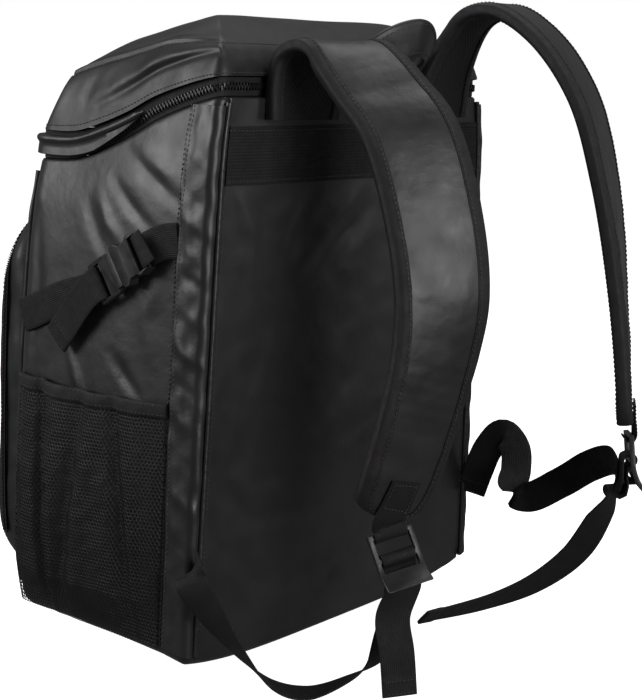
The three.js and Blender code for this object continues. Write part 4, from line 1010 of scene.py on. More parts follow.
@dataclass
class Tub:
    """The insulated tub: one closed padded shell with a rounded foot and soft creases in its sides."""

    wardrobe: Wardrobe
    wall: float = 7.0
    foot: float = 9.0
    rows: int = 145
    creases: tuple[Crease, ...] = (
        Crease(((4, 351), (34, 333), (60, 318)), 5.5, -2.6),
        Crease(((-4, 366), (28, 348), (58, 334)), 8, 1.6),
        Crease(((-20, 318), (-8, 299), (8, 285)), 5, 2.0),
        Crease(((-32, 312), (-20, 292), (-6, 276)), 6, -1.7),
        Crease(((-8, 331), (14, 313), (38, 296)), 5, -2.2),
        Crease(((-42, 205), (-30, 182), (-24, 170)), 4.5, 1.8),
        Crease(((4, 206), (18, 192), (32, 180)), 5, -1.8),
        Crease(((-88, 300), (-80, 250), (-84, 200)), 6, -1.8),
        Crease(((44, 262), (34, 235), (46, 196)), 8, 1.2),
        Crease(((-75, 235), (-50, 222), (-20, 226)), 8, -1.4),
    )

    def surface(self, level: Array, inset: Array, flat: Array, shows: Array) -> Array:
        """Points of the tub's rings.

        A point's height is level*rim(y), or the flat height where one is given. Where the ring shows,
        it is pushed out by the side's swell, the creases and two sizes of ripple.

        Args:
            level: Level of each ring.
            inset: Distance inside the surface of each.
            flat: Height of each, or not a number.
            shows: 1 where the ring is part of the outer wall.

        Returns:
            Rings of points.
        """
        x, y, nx, ny = FORM.ring(level, inset)
        level, flat, shows = (v[:, None] for v in (level, flat, shows))
        z = np.where(np.isnan(flat), level * FORM.rim(y), flat)
        points = np.stack([x, y, z], axis=-1)
        folds = relief(self.creases, y, z) * np.sin(math.pi * np.clip(level, 0, 1)) ** 0.3
        soft = 0.55 * ripples(points, 110, 3) + 0.12 * ripples(points, 34, 4)
        out = np.abs(nx) * (FORM.swell(y, level) + shows * (folds + soft)) + shows * np.abs(ny) * 0.4 * soft
        return points + np.stack([nx * out, ny * shows * out * 0.2, np.zeros_like(out)], axis=-1)

    def build(self) -> None:
        """Makes the tub."""
        turn = np.linspace(0, math.pi / 2, 9)
        low_in = np.concatenate([[92, 80, 62, 44, 28, 16], self.foot * (1 - np.sin(turn))[:-1]])
        low_z = np.concatenate([np.zeros(6), self.foot * (1 - np.cos(turn))[:-1]])
        wall = np.linspace(0.027, 0.992, self.rows)
        lip = np.array([0.998, 1.0, 1.0, 0.998])
        inside = np.array([0.97, 0.7, 0.35, 0.05])
        level = np.concatenate([np.zeros(len(low_in)), wall, lip, inside, np.full(3, 0.03)])
        inset = np.concatenate([low_in, np.zeros(len(wall)), [1.0, 2.6, 4.6, 6.2], np.full(4, self.wall),
                                [self.wall + 8, 45, 92]])
        flat = np.concatenate([low_z, np.full(len(wall) + 8, np.nan), np.full(3, self.wall)])
        shows = np.concatenate([np.zeros(len(low_in)), np.ones(len(wall)), np.zeros(11)])
        skin = Skin()
        skin.tube(self.surface(level, inset, flat, shows))
        piece = dress(skin.build("tub"), self.wardrobe.body, "coated_cloth", "body_shell")


@dataclass
class Panels:
    """The worn back panel, the strips beside it, their piping, and the wide webbing across it."""

    wardrobe: Wardrobe
    pad: float = 5.0
    strip_turn: float = 84.0
    strip_radius: float = 6.0
    strip_cloth: float = 1.7
    piping: float = 2.2
    piping_inset: float = 6.9
    band_low: float = 332.0
    band_high: float = 372.0
    webbing: float = 1.5
    wrinkles: tuple[tuple[float, float], ...] = (
        (0.9, 0.5), (0.83, -0.5), (0.79, 1.1), (0.735, 0.4), (0.69, -0.9), (0.63, 0.5), (0.56, 1.3),
        (0.5, -0.9), (0.44, 0.5), (0.37, -0.5), (0.3, 0.8), (0.22, -0.4), (0.14, 0.4),
    )
    creases: tuple[Crease, ...] = (
        Crease(((-6, 334), (38, 300), (74, 272)), 8, 3.0),
        Crease(((-14, 312), (26, 286), (60, 252)), 9, -2.4),
        Crease(((60, 330), (84, 300), (98, 262)), 9, -2.4),
        Crease(((168, 124), (117, 91), (36, 89)), 9, -2.8),
        Crease(((168, 140), (126, 108), (60, 104)), 9, 2.0),
        Crease(((-6, 220), (30, 198), (68, 168)), 12, 2.4),
        Crease(((-20, 200), (14, 176), (46, 150)), 11, -1.8),
        Crease(((154, 322), (138, 298), (132, 240)), 7, 2.4),
        Crease(((160, 70), (120, 40), (60, 30)), 9, 2.0),
        Crease(((-150, 240), (-100, 215), (-70, 150)), 12, 2.0),
        Crease(((-60, 300), (-90, 270), (-140, 262)), 9, -2.0),
        Crease(((-20, 90), (-60, 60), (-130, 52)), 10, 2.0),
        Crease(((104, 224), (122, 180), (112, 130)), 9, 1.8),
    )

    def panel_half(self, z: Array) -> Array:
        """Half width of the back panel at a height."""
        return FORM.half(z / FORM.height) - self.piping_inset - self.piping - FORM.gap

    def panel_face(self, share: Array, z: Array) -> Array:
        """Place of the back panel's face: the pad's thickness, thinner at its edges, with its creases."""
        edge = 1 - 0.55 * np.abs(share) ** 12
        ends = 1 - 0.5 * hump(z, 6, 7)
        calm = np.clip((self.band_low + 4 - z) / 16, 0, 1)
        x = share * FORM.half_width
        place = np.stack(np.broadcast_arrays(x, np.zeros_like(x * z), z), axis=-1)
        folds = relief(self.creases, x, z) + 0.8 * ripples(place, 75, 8) + 0.4 * ripples(place, 26, 9)
        return (FORM.tub_back + FORM.gap + self.pad * edge * ends
                + folds * calm * (1 - np.abs(share) ** 8) * 0.8)

    def build_panel(self, seams: Seams) -> None:
        """Makes the back panel, with a row of stitches inside its edges."""
        share = np.sin(np.linspace(-1, 1, 100)[None] * math.pi / 2 * 0.98) / math.sin(math.pi / 2 * 0.98)
        z = np.linspace(6, 391, 124)[:, None]
        x = share * self.panel_half(z)
        z = z + np.zeros_like(x)
        front = np.stack([x, self.panel_face(share, z), z], -1)
        back = np.stack([x, np.full_like(x, FORM.tub_back + FORM.gap), z], -1)
        skin = Skin()
        skin.sheet(front, back)
        piece = dress(skin.build("worn_panel"), self.wardrobe.body, "coated_cloth", "back_panel")
        for column in (4, -5):
            path = front[2:-2, column]
            seams.sew(path, np.tile([0.0, 1, 0], (len(path), 1)))

    def build_band(self, seams: Seams) -> None:
        """Makes the wide webbing across the top of the panel, sewn along both edges."""
        share = np.linspace(-1, 1, 130)[None]
        z = np.linspace(self.band_low, self.band_high, 16)[:, None]
        x = share * (self.panel_half(z) - 1)
        face = self.panel_face(share, np.full_like(x, self.band_high))
        z = z + np.zeros_like(x)
        wave = 0.25 * ripples(np.stack([x, np.zeros_like(x), z], -1), 40, 12)
        front = np.stack([x, face + FORM.gap + self.webbing + wave, z], -1)
        back = np.stack([x, face + 0.1, z], -1)
        skin = Skin()
        skin.sheet(front, back, pattern(x, z))
        piece = dress(skin.build("wide_band"), self.wardrobe.band, "webbing", "webbing_band")
        for row in (1, -2):
            seams.sew(front[row], np.tile([0.0, 1, 0], (front.shape[1], 1)))

    def strip_at(self, side: Side, share: Array, z: Array, lift: Array) -> Array:
        """Places on the strip, which is flat from its seam and then turns round the back corner.

        Args:
            side: Which side of the bag.
            share: Share of the way across the strip from its seam.
            z: Height.
            lift: Distance out of the side's surface.

        Returns:
            Points.
        """
        seam = FORM.seam_at(z)
        flat = self.strip_turn - seam
        run = share * (flat + self.strip_radius * math.radians(94))
        angle = np.clip(run - flat, 0, None) / self.strip_radius
        start = FORM.on_side(side, seam + np.minimum(run, flat), z, 0)
        face = 0.5 + self.strip_cloth
        reach = self.strip_radius - face + lift
        shift = (np.cos(angle) * reach - self.strip_radius + face) * side.value
        return start + np.stack([shift, np.sin(angle) * reach, 0 * shift], -1)

    def build_strip(self, side: Side, seams: Seams) -> None:
        """Makes one strip between the side panel and the back, with its seam's two rows of stitches."""
        share = np.linspace(0, 1, 34)[None]
        z = np.linspace(7, 386, 230)[:, None]
        level = z / FORM.height
        fold = sum(rise * np.exp(-(((level - up + 0.035 * share) * FORM.height / 5.2) ** 2))
                   for up, rise in self.wrinkles)
        place = np.stack(np.broadcast_arrays(0 * share, 30 * share, z), -1)
        worn = (fold * np.sin(math.pi * share) ** 0.8 + 0.4 * ripples(place, 16, 20 + side.value)
                + 0.7 * np.sin(math.pi * share) ** 0.6)
        front = self.strip_at(side, share, z, 0.5 + self.strip_cloth + np.maximum(worn, -0.9))
        back = self.strip_at(side, share, z, np.full_like(worn, 0.3))
        skin = Skin()
        skin.sheet(front, back)
        piece = dress(skin.build(f"side_strip_{side.tag}"), self.wardrobe.body, "coated_cloth",
                      f"gusset_{side.tag}")
        out = np.tile([float(side.value), 0, 0], (len(z), 1))
        seams.sew(front[:, 2], out)
        seams.sew(FORM.on_side(side, FORM.seam_at(z[:, 0]) - 3.2, z[:, 0], 0.4), out)

    def build_piping(self, side: Side) -> None:
        """Makes the piping up one back corner: a tube with slight regular swellings along it."""
        z = np.linspace(8, 388, 12)
        x = FORM.half(z / FORM.height) - self.piping_inset
        y = np.full_like(z, self.strip_turn + self.strip_radius - 0.4)
        points = np.stack([side.value * x, y, z], -1)
        path = route(points, np.tile([1.0, 0, 0], (len(z), 1)), 2.2)
        turn = np.linspace(0, 2 * math.pi, 12, endpoint=False)
        radius = self.piping * (1 + 0.05 * np.sin(path.run * 0.9) + 0.08 * ripples(path.at, 30, 31))[:, None]
        rings = path.lay(radius * np.cos(turn), radius * np.sin(turn))
        skin = Skin()
        skin.tube(rings)
        dress(skin.build(f"corner_piping_{side.tag}"), self.wardrobe.body, "tape", f"back_piping_{side.tag}")

    def build_front_edge(self, side: Side) -> None:
        """Makes the bound seam fold up one front corner."""
        angle, reach = 1.15, FORM.front_corner + FORM.gap + 0.8 * self.piping
        level = np.linspace(0.04, 0.97, 12)
        x = FORM.half(level) - FORM.front_corner + reach * math.cos(angle)
        y = FORM.front_at(level) + FORM.front_corner - reach * math.sin(angle)
        points = np.stack([side.value * x, y, level * FORM.rim(y)], -1)
        path = route(points, np.tile([1.0, 0, 0], (len(level), 1)), 2.5)
        turn = np.linspace(0, 2 * math.pi, 12, endpoint=False)
        radius = self.piping * (1.1 + 0.12 * ripples(path.at, 22, 33))[:, None]
        skin = Skin()
        skin.tube(path.lay(radius * np.cos(turn), radius * np.sin(turn)))
        dress(skin.build(f"front_edge_{side.tag}"), self.wardrobe.body, "coated_cloth",
              f"front_binding_{side.tag}")

    def build(self) -> None:
        """Makes all panels and their stitches."""
        seams = Seams()
        self.build_panel(seams)
        self.build_band(seams)
        for side in Side:
            self.build_strip(side, seams)
            self.build_piping(side)
            self.build_front_edge(side)
        seams.build("panel_stitches", self.wardrobe.thread, "coated_cloth")


# Lid


@dataclass
class Lid:
    """The domed lid with its zip, welt and hinge."""

    wardrobe: Wardrobe
    height: float = 48.0
    wall: float = 4.0
    dome: float = 24.0
    overhang: float = 1.5
    rake: float = 19.0
    band_back: float = 13.0
    band_front: float = 22.0
    tooth_pitch: float = 1.55
    tooth_shift: float = 0.9
    tape_depths: tuple[float, float] = (2.0, 3.6)
    welt: float = 3.0
    welt_drop: float = 6.5
    flap: float = 12.0
    counts: tuple[int, ...] = (14, 5, 62, 10, 58, 20)
    rise: tuple[tuple[float, float], ...] = (
        (0, 0.46), (0.17, 0.61), (0.44, 0.88), (0.6, 0.97), (0.74, 1.0), (0.88, 0.88), (1, 0.68),
    )
    rings: tuple[tuple[float, float, float], ...] = (
        (0, 0, 0), (0.01, 0.25, 0), (0.03, 0.55, 0), (0.06, 0.85, 0), (0.1, 1, 0.06), (0.18, 1, 0.36),
        (0.32, 1, 0.82), (0.47, 1, 0.98), (0.543, 1, 1),
    )

    def seam(self, y: Array) -> Array:
        """Height of the lid's lower edge: the rim and the zip's band over it."""
        share = np.clip((FORM.back - y) / FORM.depth, 0, 1)
        return FORM.rim(y) + self.band_back + (self.band_front - self.band_back) * share

    def surface(self, step: Array, wall: float) -> Array:
        """Rings of the lid between its table's rows.

        Height is seam(y) + wall share * rise(y) + dome share * dome, with a raised sewn edge where the
        side wall meets the top, upright folds in the wall and a slightly sagging top.

        Args:
            step: Row numbers of the table, which may lie between two rows.
            wall: Distance inside the outer face.

        Returns:
            Rings of points.
        """
        rows = np.array(self.rings)
        inset, up, dome = (follow(range(len(rows)), rows[:, k], step) for k in range(3))
        x, y, nx, ny = FORM.ring(np.ones_like(step), inset * FORM.half_width + wall, self.counts,
                                 self.overhang)
        keys, rises = zip(*self.rise)
        forward = (FORM.back - y) / FORM.depth
        rise = self.height * follow(keys, rises, forward)
        up, dome, step = up[:, None], dome[:, None], step[:, None]
        z = self.seam(y) + up * rise + dome * self.dome - wall * np.clip(1.2 * up, 0, 1)
        points = np.stack([x, y + self.rake * up * np.clip(forward, 0, 1) ** 8, z], -1)
        if wall > 0:
            return points
        side = np.clip(1 - np.abs(step - 1.9) / 2.1, 0, 1)
        edge = hump(step, 3.95, 0.16) - 0.8 * hump(step, 3.62, 0.16) - 0.6 * hump(step, 4.3, 0.16)
        edge = edge * np.clip(forward * 5 - 0.4, 0, 1)
        long_fold = np.abs(nx) * hump(forward, 0.34, 0.26)
        fold_line = 1.25 + 2.2 * np.clip(0.62 - forward, 0, 0.6)
        ridge = long_fold * (2.6 * hump(step, fold_line + 0.55, 0.5) - 2.4 * hump(step, fold_line, 0.28))
        folds = 0.9 * ripples(points, 34, 41, (1, 1, 6)) + 0.3 * ripples(points, 14, 43, (1, 1, 3))
        out = side * folds * np.clip(0.35 + forward, 0, 1) + 0.9 * edge + ridge * np.clip(side * 2, 0, 1)
        top = np.clip(step - 4.3, 0, 1) * (0.9 * ripples(points, 60, 44) - 1.2) + 0.8 * edge
        return points + np.stack([nx * out, ny * out, top], -1)

    def build_cover(self, seams: Seams) -> None:
        """Makes the lid as one closed shell, with stitches under its raised edge."""
        inner = np.array([8, 7, 6, 5, 4.3, 4, 3, 2, 1, 0.3])
        outer = np.concatenate([np.linspace(0, 3.4, 40), np.linspace(3.45, 4.5, 30), np.linspace(4.6, 8, 34)])
        skin = Skin()
        face = self.surface(outer, 0.0)
        skin.tube(np.concatenate([self.surface(inner, self.wall), face]))
        piece = dress(skin.build("domed_lid"), self.wardrobe.lid, "lid_cloth", "lid")
        for step, lift in ((3.45, 0.2), (0.35, 0.2)):
            row = face[int(np.argmin(np.abs(outer - step)))]
            path = np.concatenate([row, row[:1]])
            way = np.gradient(path, axis=0)
            out = unit(np.stack([-way[:, 1], way[:, 0], 0 * way[:, 0]], -1) * -1)
            seams.sew(path + out * lift, out)

    def ribbon(self, start: int, end: int, outer: float, inner: float, low: Array, high: Array) -> tuple:
        """Grids of an upright strip round the rim between two depths under the surface.

        Args:
            start: First step round the ring.
            end: Step after the last.
            outer: Depth of the outer face.
            inner: Depth of the inner face.
            low: Distance of the lower edge over the rim, as a function of y.
            high: Distance of the upper edge, likewise.

        Returns:
            The outer and the inner grid.
        """
        share = np.linspace(0, 1, 8)[:, None]
        grids = []
        for depth in (outer, inner):
            x, y, _, _ = FORM.ring(np.ones(1), np.array([depth]), self.counts)
            x, y = np.roll(x, -start, 1)[:, :end - start], np.roll(y, -start, 1)[:, :end - start]
            z = low(y) * (1 - share) + high(y) * share
            grids.append(np.stack([x + 0 * z, y + 0 * z, z], -1))
        return grids[0], grids[1]

    def build_zip(self) -> None:
        """Makes the zip's tape, its interlocked teeth and the hinge cloth."""
        total = 2 * sum(self.counts[:4]) + self.counts[4]
        low, high = (lambda y: FORM.rim(y) + FORM.gap), (lambda y: self.seam(y) - FORM.gap)
        skin = Skin()
        front, back = self.ribbon(0, total + 1, *self.tape_depths, low, high)
        run = travelled(front[0])
        skin.sheet(front, back, pattern(run[None], front[..., 2]))
        piece = dress(skin.build("zip_band"), self.wardrobe.tape, "tape", "lid_zip_tape")

        x, y, nx, ny = (v[0, :total + 1] for v in FORM.ring(np.ones(1), np.array([1.0]), self.counts))
        path = np.stack([x, y, FORM.rim(y) + self.band_back / 2], -1)
        run = travelled(path)
        spots = np.arange(1, run[-1], self.tooth_pitch)
        centre = read(path, run, spots)
        out = unit(read(np.stack([nx, ny, 0 * nx], -1), run, spots))
        along = unit(read(path, run, spots + 1) - centre)
        up = unit(np.cross(along, out))
        up *= np.sign(up[:, 2:])
        centre[:, 2] += np.where(np.arange(len(spots)) % 2 == 0, self.tooth_shift, -self.tooth_shift)
        skin = Skin()
        skin.copies(bead(6, 4, 0.55), centre + out * 0.2, (up, along, out), (1.9, 0.62, 0.95))
        dress(skin.build("zip_teeth"), self.wardrobe.plastic, "plastic", "lid_zip_teeth")

        skin = Skin()
        front, back = self.ribbon(total, total + self.counts[5] + 1, *self.tape_depths, low, high)
        for grid in (front, back):
            grid[..., 0] *= 0.985
        skin.sheet(front, back)
        piece = dress(skin.build("hinge_cloth"), self.wardrobe.lid, "lid_cloth", "lid_hinge")

    def build_welt(self) -> None:
        """Makes the padded welt under the front half of the lid, with the flap that hides the zip.

        Its section is a round of the welt's radius over a thin flap that grows from both ends.
        """
        first = self.counts[0] + self.counts[1] + round(self.counts[2] * 0.35)
        x, y, nx, ny = (v[0] for v in FORM.ring(np.ones(1), np.array([-self.overhang]), self.counts))
        last = 2 * sum(self.counts[:4]) + self.counts[4] + 1 - first
        keep = slice(first, last)
        z = self.seam(y) - self.welt_drop
        points = np.stack([x, y, z], -1)[keep][::4]
        across = np.stack([nx, ny, 0 * nx], -1)[keep][::4]
        path = route(points, across, 2.6)
        turn = np.radians(np.linspace(-48, 228, 15))[None]
        ends = np.clip(np.minimum(path.run, path.length - path.run) / 8, 0.3, 1)
        flap = np.clip(np.minimum(path.run, path.length - path.run) / 55, 0.1, 1)[:, None]
        radius = self.welt * (ends * (1 + 0.06 * ripples(path.at, 26, 51)))[:, None]
        wave = 0.35 * ripples(path.at, 34, 52)[:, None]
        sides = np.array([[-1.1, -0.5, 0.7, 1.5, 2.1, 1.6, 1.2]])
        sides = sides + wave * np.array([[0, 0.5, 1, 1, 1, 0.5, 0]])
        downs = np.array([[0.15, 0.5, 1, 1.06, 1, 0.5, 0.15]]) * flap
        downs = downs * (self.flap - self.welt) + self.welt * 0.7
        out = np.concatenate([radius * np.cos(turn), sides * ends[:, None]], 1)
        up = np.concatenate([radius * np.sin(turn), -downs * ends[:, None]], 1)
        skin = Skin()
        skin.tube(path.lay(out, up))
        dress(skin.build("padded_welt"), self.wardrobe.body, "coated_cloth", "lid_welt")

    def build(self) -> None:
        """Makes the lid and all that closes it."""
        seams = Seams()
        self.build_cover(seams)
        self.build_zip()
        self.build_welt()
        seams.build("lid_stitches", self.wardrobe.thread, "lid_cloth")
        for side in Side:
            node = f"lid_zip_slider_{side.tag}"
            dress(softened(node, f"zip_slider_{side.tag}", 0.5), self.wardrobe.plastic, "plastic", node)


# Pockets


@dataclass
class FrontPocket:
    """The bulging front pocket with its zip."""

    wardrobe: Wardrobe
    width: float = 282.0
    depth: float = 60.0
    height: float = 320.0
    foot: float = 5.0
    cloth: float = 2.0
    coil_pitch: float = 1.7
    zip_run: tuple[int, int] = (68, 198)
    rings: tuple[tuple[float, float, float, float], ...] = (
        (0, 1, 0, 1), (0.14, 1, 0, 0.985), (0.5, 0.995, 0, 0.945), (0.78, 0.965, 0.015, 0.865),
        (0.9, 0.91, 0.06, 0.78), (0.97, 0.77, 0.15, 0.67), (1, 0.5, 0.28, 0.56), (1, 0.2, 0.38, 0.46),
    )

    def surface(self, step: Array, inset: float, lift: float = 0.0) -> Array:
        """Rings of the pocket from the bag outwards.

        Each ring is a rectangle with round corners in x and z at one depth: the top corners' radius is
        the least of 0.42 half widths and 0.45 heights, and the bottom ones' is 0.55 of that.

        Args:
            step: Row numbers of the table, which may lie between two rows.
            inset: Distance inside the outer face.
            lift: Distance out of the ring.

        Returns:
            Rings of points.
        """
        rows = np.array(self.rings)
        out, half, low, high = (follow(range(len(rows)), rows[:, k], step)[:, None] for k in range(4))
        half = half * self.width / 2 - inset
        low, high = self.foot + low * self.height + inset, self.foot + high * self.height - inset
        top = np.minimum(0.42 * half, 0.45 * (high - low))
        bottom = 0.55 * top
        parts = []

        def run(x0: Array, z0: Array, x1: Array, z1: Array, count: int, nx: float, nz: float) -> None:
            """Straight run."""
            share = np.arange(count) / count
            one = np.ones_like(share) * np.ones_like(half)
            parts.append((x0 + (x1 - x0) * share, z0 + (z1 - z0) * share, nx * one, nz * one))

        def arc(cx: Array, cz: Array, radius: Array, quarter: int, count: int) -> None:
            """Quarter circle."""
            angle = (quarter + np.arange(count) / count) * math.pi / 2
            c, s = np.cos(angle) * np.ones_like(half), np.sin(angle) * np.ones_like(half)
            parts.append((cx + radius * c, cz + radius * s, c, s))

        arc(bottom - half, low + bottom, bottom, 2, 14)
        run(bottom - half, low, half - bottom, low, 40, 0, -1)
        arc(half - bottom, low + bottom, bottom, 3, 14)
        run(half, low + bottom, half, high - top, 46, 1, 0)
        arc(half - top, high - top, top, 0, 22)
        run(half - top, high, top - half, high, 40, 0, 1)
        arc(top - half, high - top, top, 1, 22)
        run(-half, high - top, -half, low + bottom, 46, -1, 0)
        x, z, nx, nz = (np.concatenate([part[k] for part in parts], axis=1) for k in range(4))
        level = z / FORM.rim(np.full_like(z, FORM.front))
        y = FORM.front_at(level) - FORM.gap - out * (self.depth - inset)
        points = np.stack([x + lift * nx, y, z + lift * nz], -1)
        if inset > 0 or lift > 0:
            return points
        step = step[:, None]
        ridge = 0.9 * (hump(step, 1.35, 0.09) + hump(step, 3.3, 0.1)) - 0.5 * hump(step, 1.7, 0.1)
        soft = (0.9 * ripples(points, 60, 61) + 0.5 * ripples(points, 24, 62)) * np.clip(step / 1.5, 0, 1)
        face = np.clip(step - 3.6, 0, 1)
        body = ridge + soft * (1 - face)
        return points + np.stack([nx * body, -face * (soft * 1.4 + 0.4), nz * body], -1)

    def build(self) -> None:
        """Makes the pocket as a closed shell, with its zip's coil and stitches."""
        inner = np.array([7, 6, 5, 4, 3, 2, 1, 0])
        outer = np.linspace(0, 7, 74)
        skin = Skin()
        face = self.surface(outer, 0.0)
        skin.tube(np.concatenate([self.surface(inner, self.cloth), face]))
        piece = dress(skin.build("bulging_pocket"), self.wardrobe.body, "coated_cloth", "front_pocket")

        steps = np.linspace(2.36, 2.74, 7)
        top, under = self.surface(steps, 0.0, 1.7), self.surface(steps, 0.0, 0.5)
        keep = slice(*self.zip_run)
        zone = top[:, keep]
        run = travelled(zone[3])
        skin = Skin()
        skin.sheet(zone, under[:, keep], pattern(run[None], np.linspace(0, 10, 7)[:, None]))
        dress(skin.build("pocket_zip_tape"), self.wardrobe.tape, "tape")
        spots = np.arange(1, run[-1] - 1, self.coil_pitch)
        centre = read(zone[3], run, spots)
        along = unit(read(zone[3], run, spots + 1) - centre)
        wide = read(zone[5] - zone[1], run, spots)
        out = unit(np.cross(along, wide))
        inward = centre - np.array([0, FORM.front, 150])
        out *= np.sign((out * inward).sum(1, keepdims=True))
        skin = Skin()
        side = unit(np.cross(out, along))
        shift = np.where(np.arange(len(spots)) % 2 == 0, 0.6, -0.6)[:, None]
        skin.copies(bead(6, 4, 0.6), centre + out * 0.5 + side * shift, (side, along, out), (1.7, 0.6, 0.8))
        dress(skin.build("pocket_zip_coil"), self.wardrobe.plastic, "plastic", "pocket_zip")

        seams = Seams()
        for step in (1.55, 3.05):
            row = face[int(np.argmin(np.abs(outer - step)))]
            out = unit(row - np.array([0, FORM.front + 40, 150]))
            seams.sew(row, out)
        seams.build("pocket_stitches", self.wardrobe.thread, "coated_cloth")


@dataclass
class NetPocket:
    """A net pocket on one side: knitted net with six-sided holes, hemmed along its mouth."""

    wardrobe: Wardrobe
    side: Side
    height: float = 168.0
    cloth: float = 0.75
    bulge: float = 13.0
    lift: float = 0.9
    hem: float = 10.0
    hem_cloth: float = 2.4
    pitch: float = 3.0
    hole: float = 0.74
    folds: tuple[tuple[float, float, float, float], ...] = (
        (0.1, 0.05, 0.25, 0.03), (0.2, 0.032, -0.75, 0.09), (0.34, 0.07, 0.3, 0.02), (0.5, 0.045, -0.3, -0.1),
        (0.6, 0.06, 0.25, -0.12), (0.71, 0.035, -0.5, 0.16), (0.86, 0.05, 0.25, 0.0),
    )

    @property
    def ends(self) -> tuple[float, float]:
        """Depths of the net's front and back seams."""
        return FORM.front + FORM.front_corner * 0.3, 61.5

    def place(self, along: Array, z: Array, lift: Array) -> Array:
        """Places on the net: it bulges by sin(pi*along)^0.6, less in its upright pleats.

        Args:
            along: Share of the way from the front seam to the back one.
            z: Height.
            lift: Distance out of the cloth.

        Returns:
            Points.
        """
        first, last = self.ends
        y = first + (last - first) * along
        up = np.clip(z / self.height, 0, 1)
        upright = (0.62 + 0.38 * np.sin(math.pi * up)) * np.minimum(1, up * 5)
        swell = np.sin(math.pi * np.clip(along, 0, 1)) ** 0.6 * upright
        pleat = sum(rise * np.exp(-(((along - at - lean * (1 - up)) / width) ** 2))
                    for at, width, rise, lean in self.folds)
        spot = np.stack(np.broadcast_arrays(0 * y, y, z), -1)
        sag = 0.09 * ripples(spot, 46, 70 + self.side.value) + 0.04 * ripples(spot, 17, 73)
        out = self.lift + self.bulge * swell * np.maximum(1 + pleat + sag, 0.28)
        return FORM.on_side(self.side, y, z, out + lift)

    def build_net(self) -> None:
        """Makes the net as one closed sheet with a hole in every cell of a honeycomb.

        A cell's centre is (i + j%2/2, j*sqrt(3)/2) pitches, and its corners lie pitch/sqrt(3) from it.
        Neighbours share their corners. The hole's corners lie a share of that from the centre.
        """
        first, last = self.ends
        length = (last - first) * 1.12
        across, rows = int(length / self.pitch), int((self.height - 4) / (self.pitch * math.sqrt(0.75)))
        i, j = np.meshgrid(np.arange(across), np.arange(rows), indexing="ij")
        i, j = i.ravel(), j.ravel()
        turn = (np.arange(6) + 0.5) * math.pi / 3
        corner = np.stack([np.cos(turn), np.sin(turn)], -1) / math.sqrt(3)
        centre = np.stack([i + 0.5 * (j % 2) + 0.5, (j + 0.6) * math.sqrt(0.75)], -1)
        outer = centre[:, None] + corner
        inner = centre[:, None] + corner * self.hole
        keys = np.round(outer.reshape(-1, 2) * 1000).astype(int)
        _, pick, number = np.unique(keys, axis=0, return_index=True, return_inverse=True)
        shared = outer.reshape(-1, 2)[pick]
        outer_no = number.reshape(-1, 6)
        inner_no = len(shared) + np.arange(inner.size // 2).reshape(-1, 6)
        flat = np.concatenate([shared, inner.reshape(-1, 2)]) * self.pitch
        total = len(flat)
        thin = np.concatenate([np.full(len(shared), 0.5), np.full(inner.size // 2, 0.3)]) * self.cloth
        along = np.clip(flat[:, 0] / length, 0, 1)
        z = 4 + flat[:, 1]
        both = np.concatenate([self.place(along, z, self.cloth / 2 + thin),
                               self.place(along, z, self.cloth / 2 - thin)])
        o1, o2, n1, n2 = outer_no, np.roll(outer_no, -1, 1), inner_no, np.roll(inner_no, -1, 1)
        ring = np.stack([o1, o2, n2, n1], -1).reshape(-1, 4)
        wall = np.stack([n1, n2, n2 + total, n1 + total], -1).reshape(-1, 4)
        edges = np.stack([o1, o2], -1).reshape(-1, 2)
        _, where, uses = np.unique(np.sort(edges, axis=1), axis=0, return_index=True, return_counts=True)
        rim = edges[where[uses == 1]]
        border = np.stack([rim[:, 1], rim[:, 0], rim[:, 0] + total, rim[:, 1] + total], -1)
        skin = Skin()
        skin.points.append(both)
        for faces in (ring, ring[:, ::-1] + total, wall, border):
            skin.quads.append(faces)
            skin.quad_uv.append(np.zeros(faces.shape + (2,)))
        piece = dress(skin.build(f"net_{self.side.tag}", sharp=80), self.wardrobe.net, "net",
                      f"mesh_pocket_{self.side.tag}")

    def build(self) -> None:
        """Makes the net and its hem."""
        self.build_net()
        along = np.linspace(0, 1, 90)[None]
        z = np.linspace(self.height + 0.3, self.height + 0.3 + self.hem, 12)[:, None]
        roll = np.sqrt(np.clip(1 - ((z - z.mean()) / (self.hem / 2 + 0.4)) ** 2, 0, 1)) ** 0.6
        front = self.place(along, z + 0 * along, self.hem_cloth * (0.45 + 0.55 * roll) + 0.2)
        back = self.place(along, z + 0 * along, 0.1 * roll)
        run = travelled(front[5])
        skin = Skin()
        skin.sheet(front, back, pattern(run[None], z))
        piece = dress(skin.build(f"net_hem_{self.side.tag}"), self.wardrobe.tape, "tape",
                      f"pocket_hem_{self.side.tag}")
        seams = Seams()
        out = np.tile([float(self.side.value), 0, 0], (front.shape[1], 1))
        for row in (2, 9):
            seams.sew(front[row], out)
        seams.build(f"net_stitches_{self.side.tag}", self.wardrobe.thread, "tape")


# Webbing


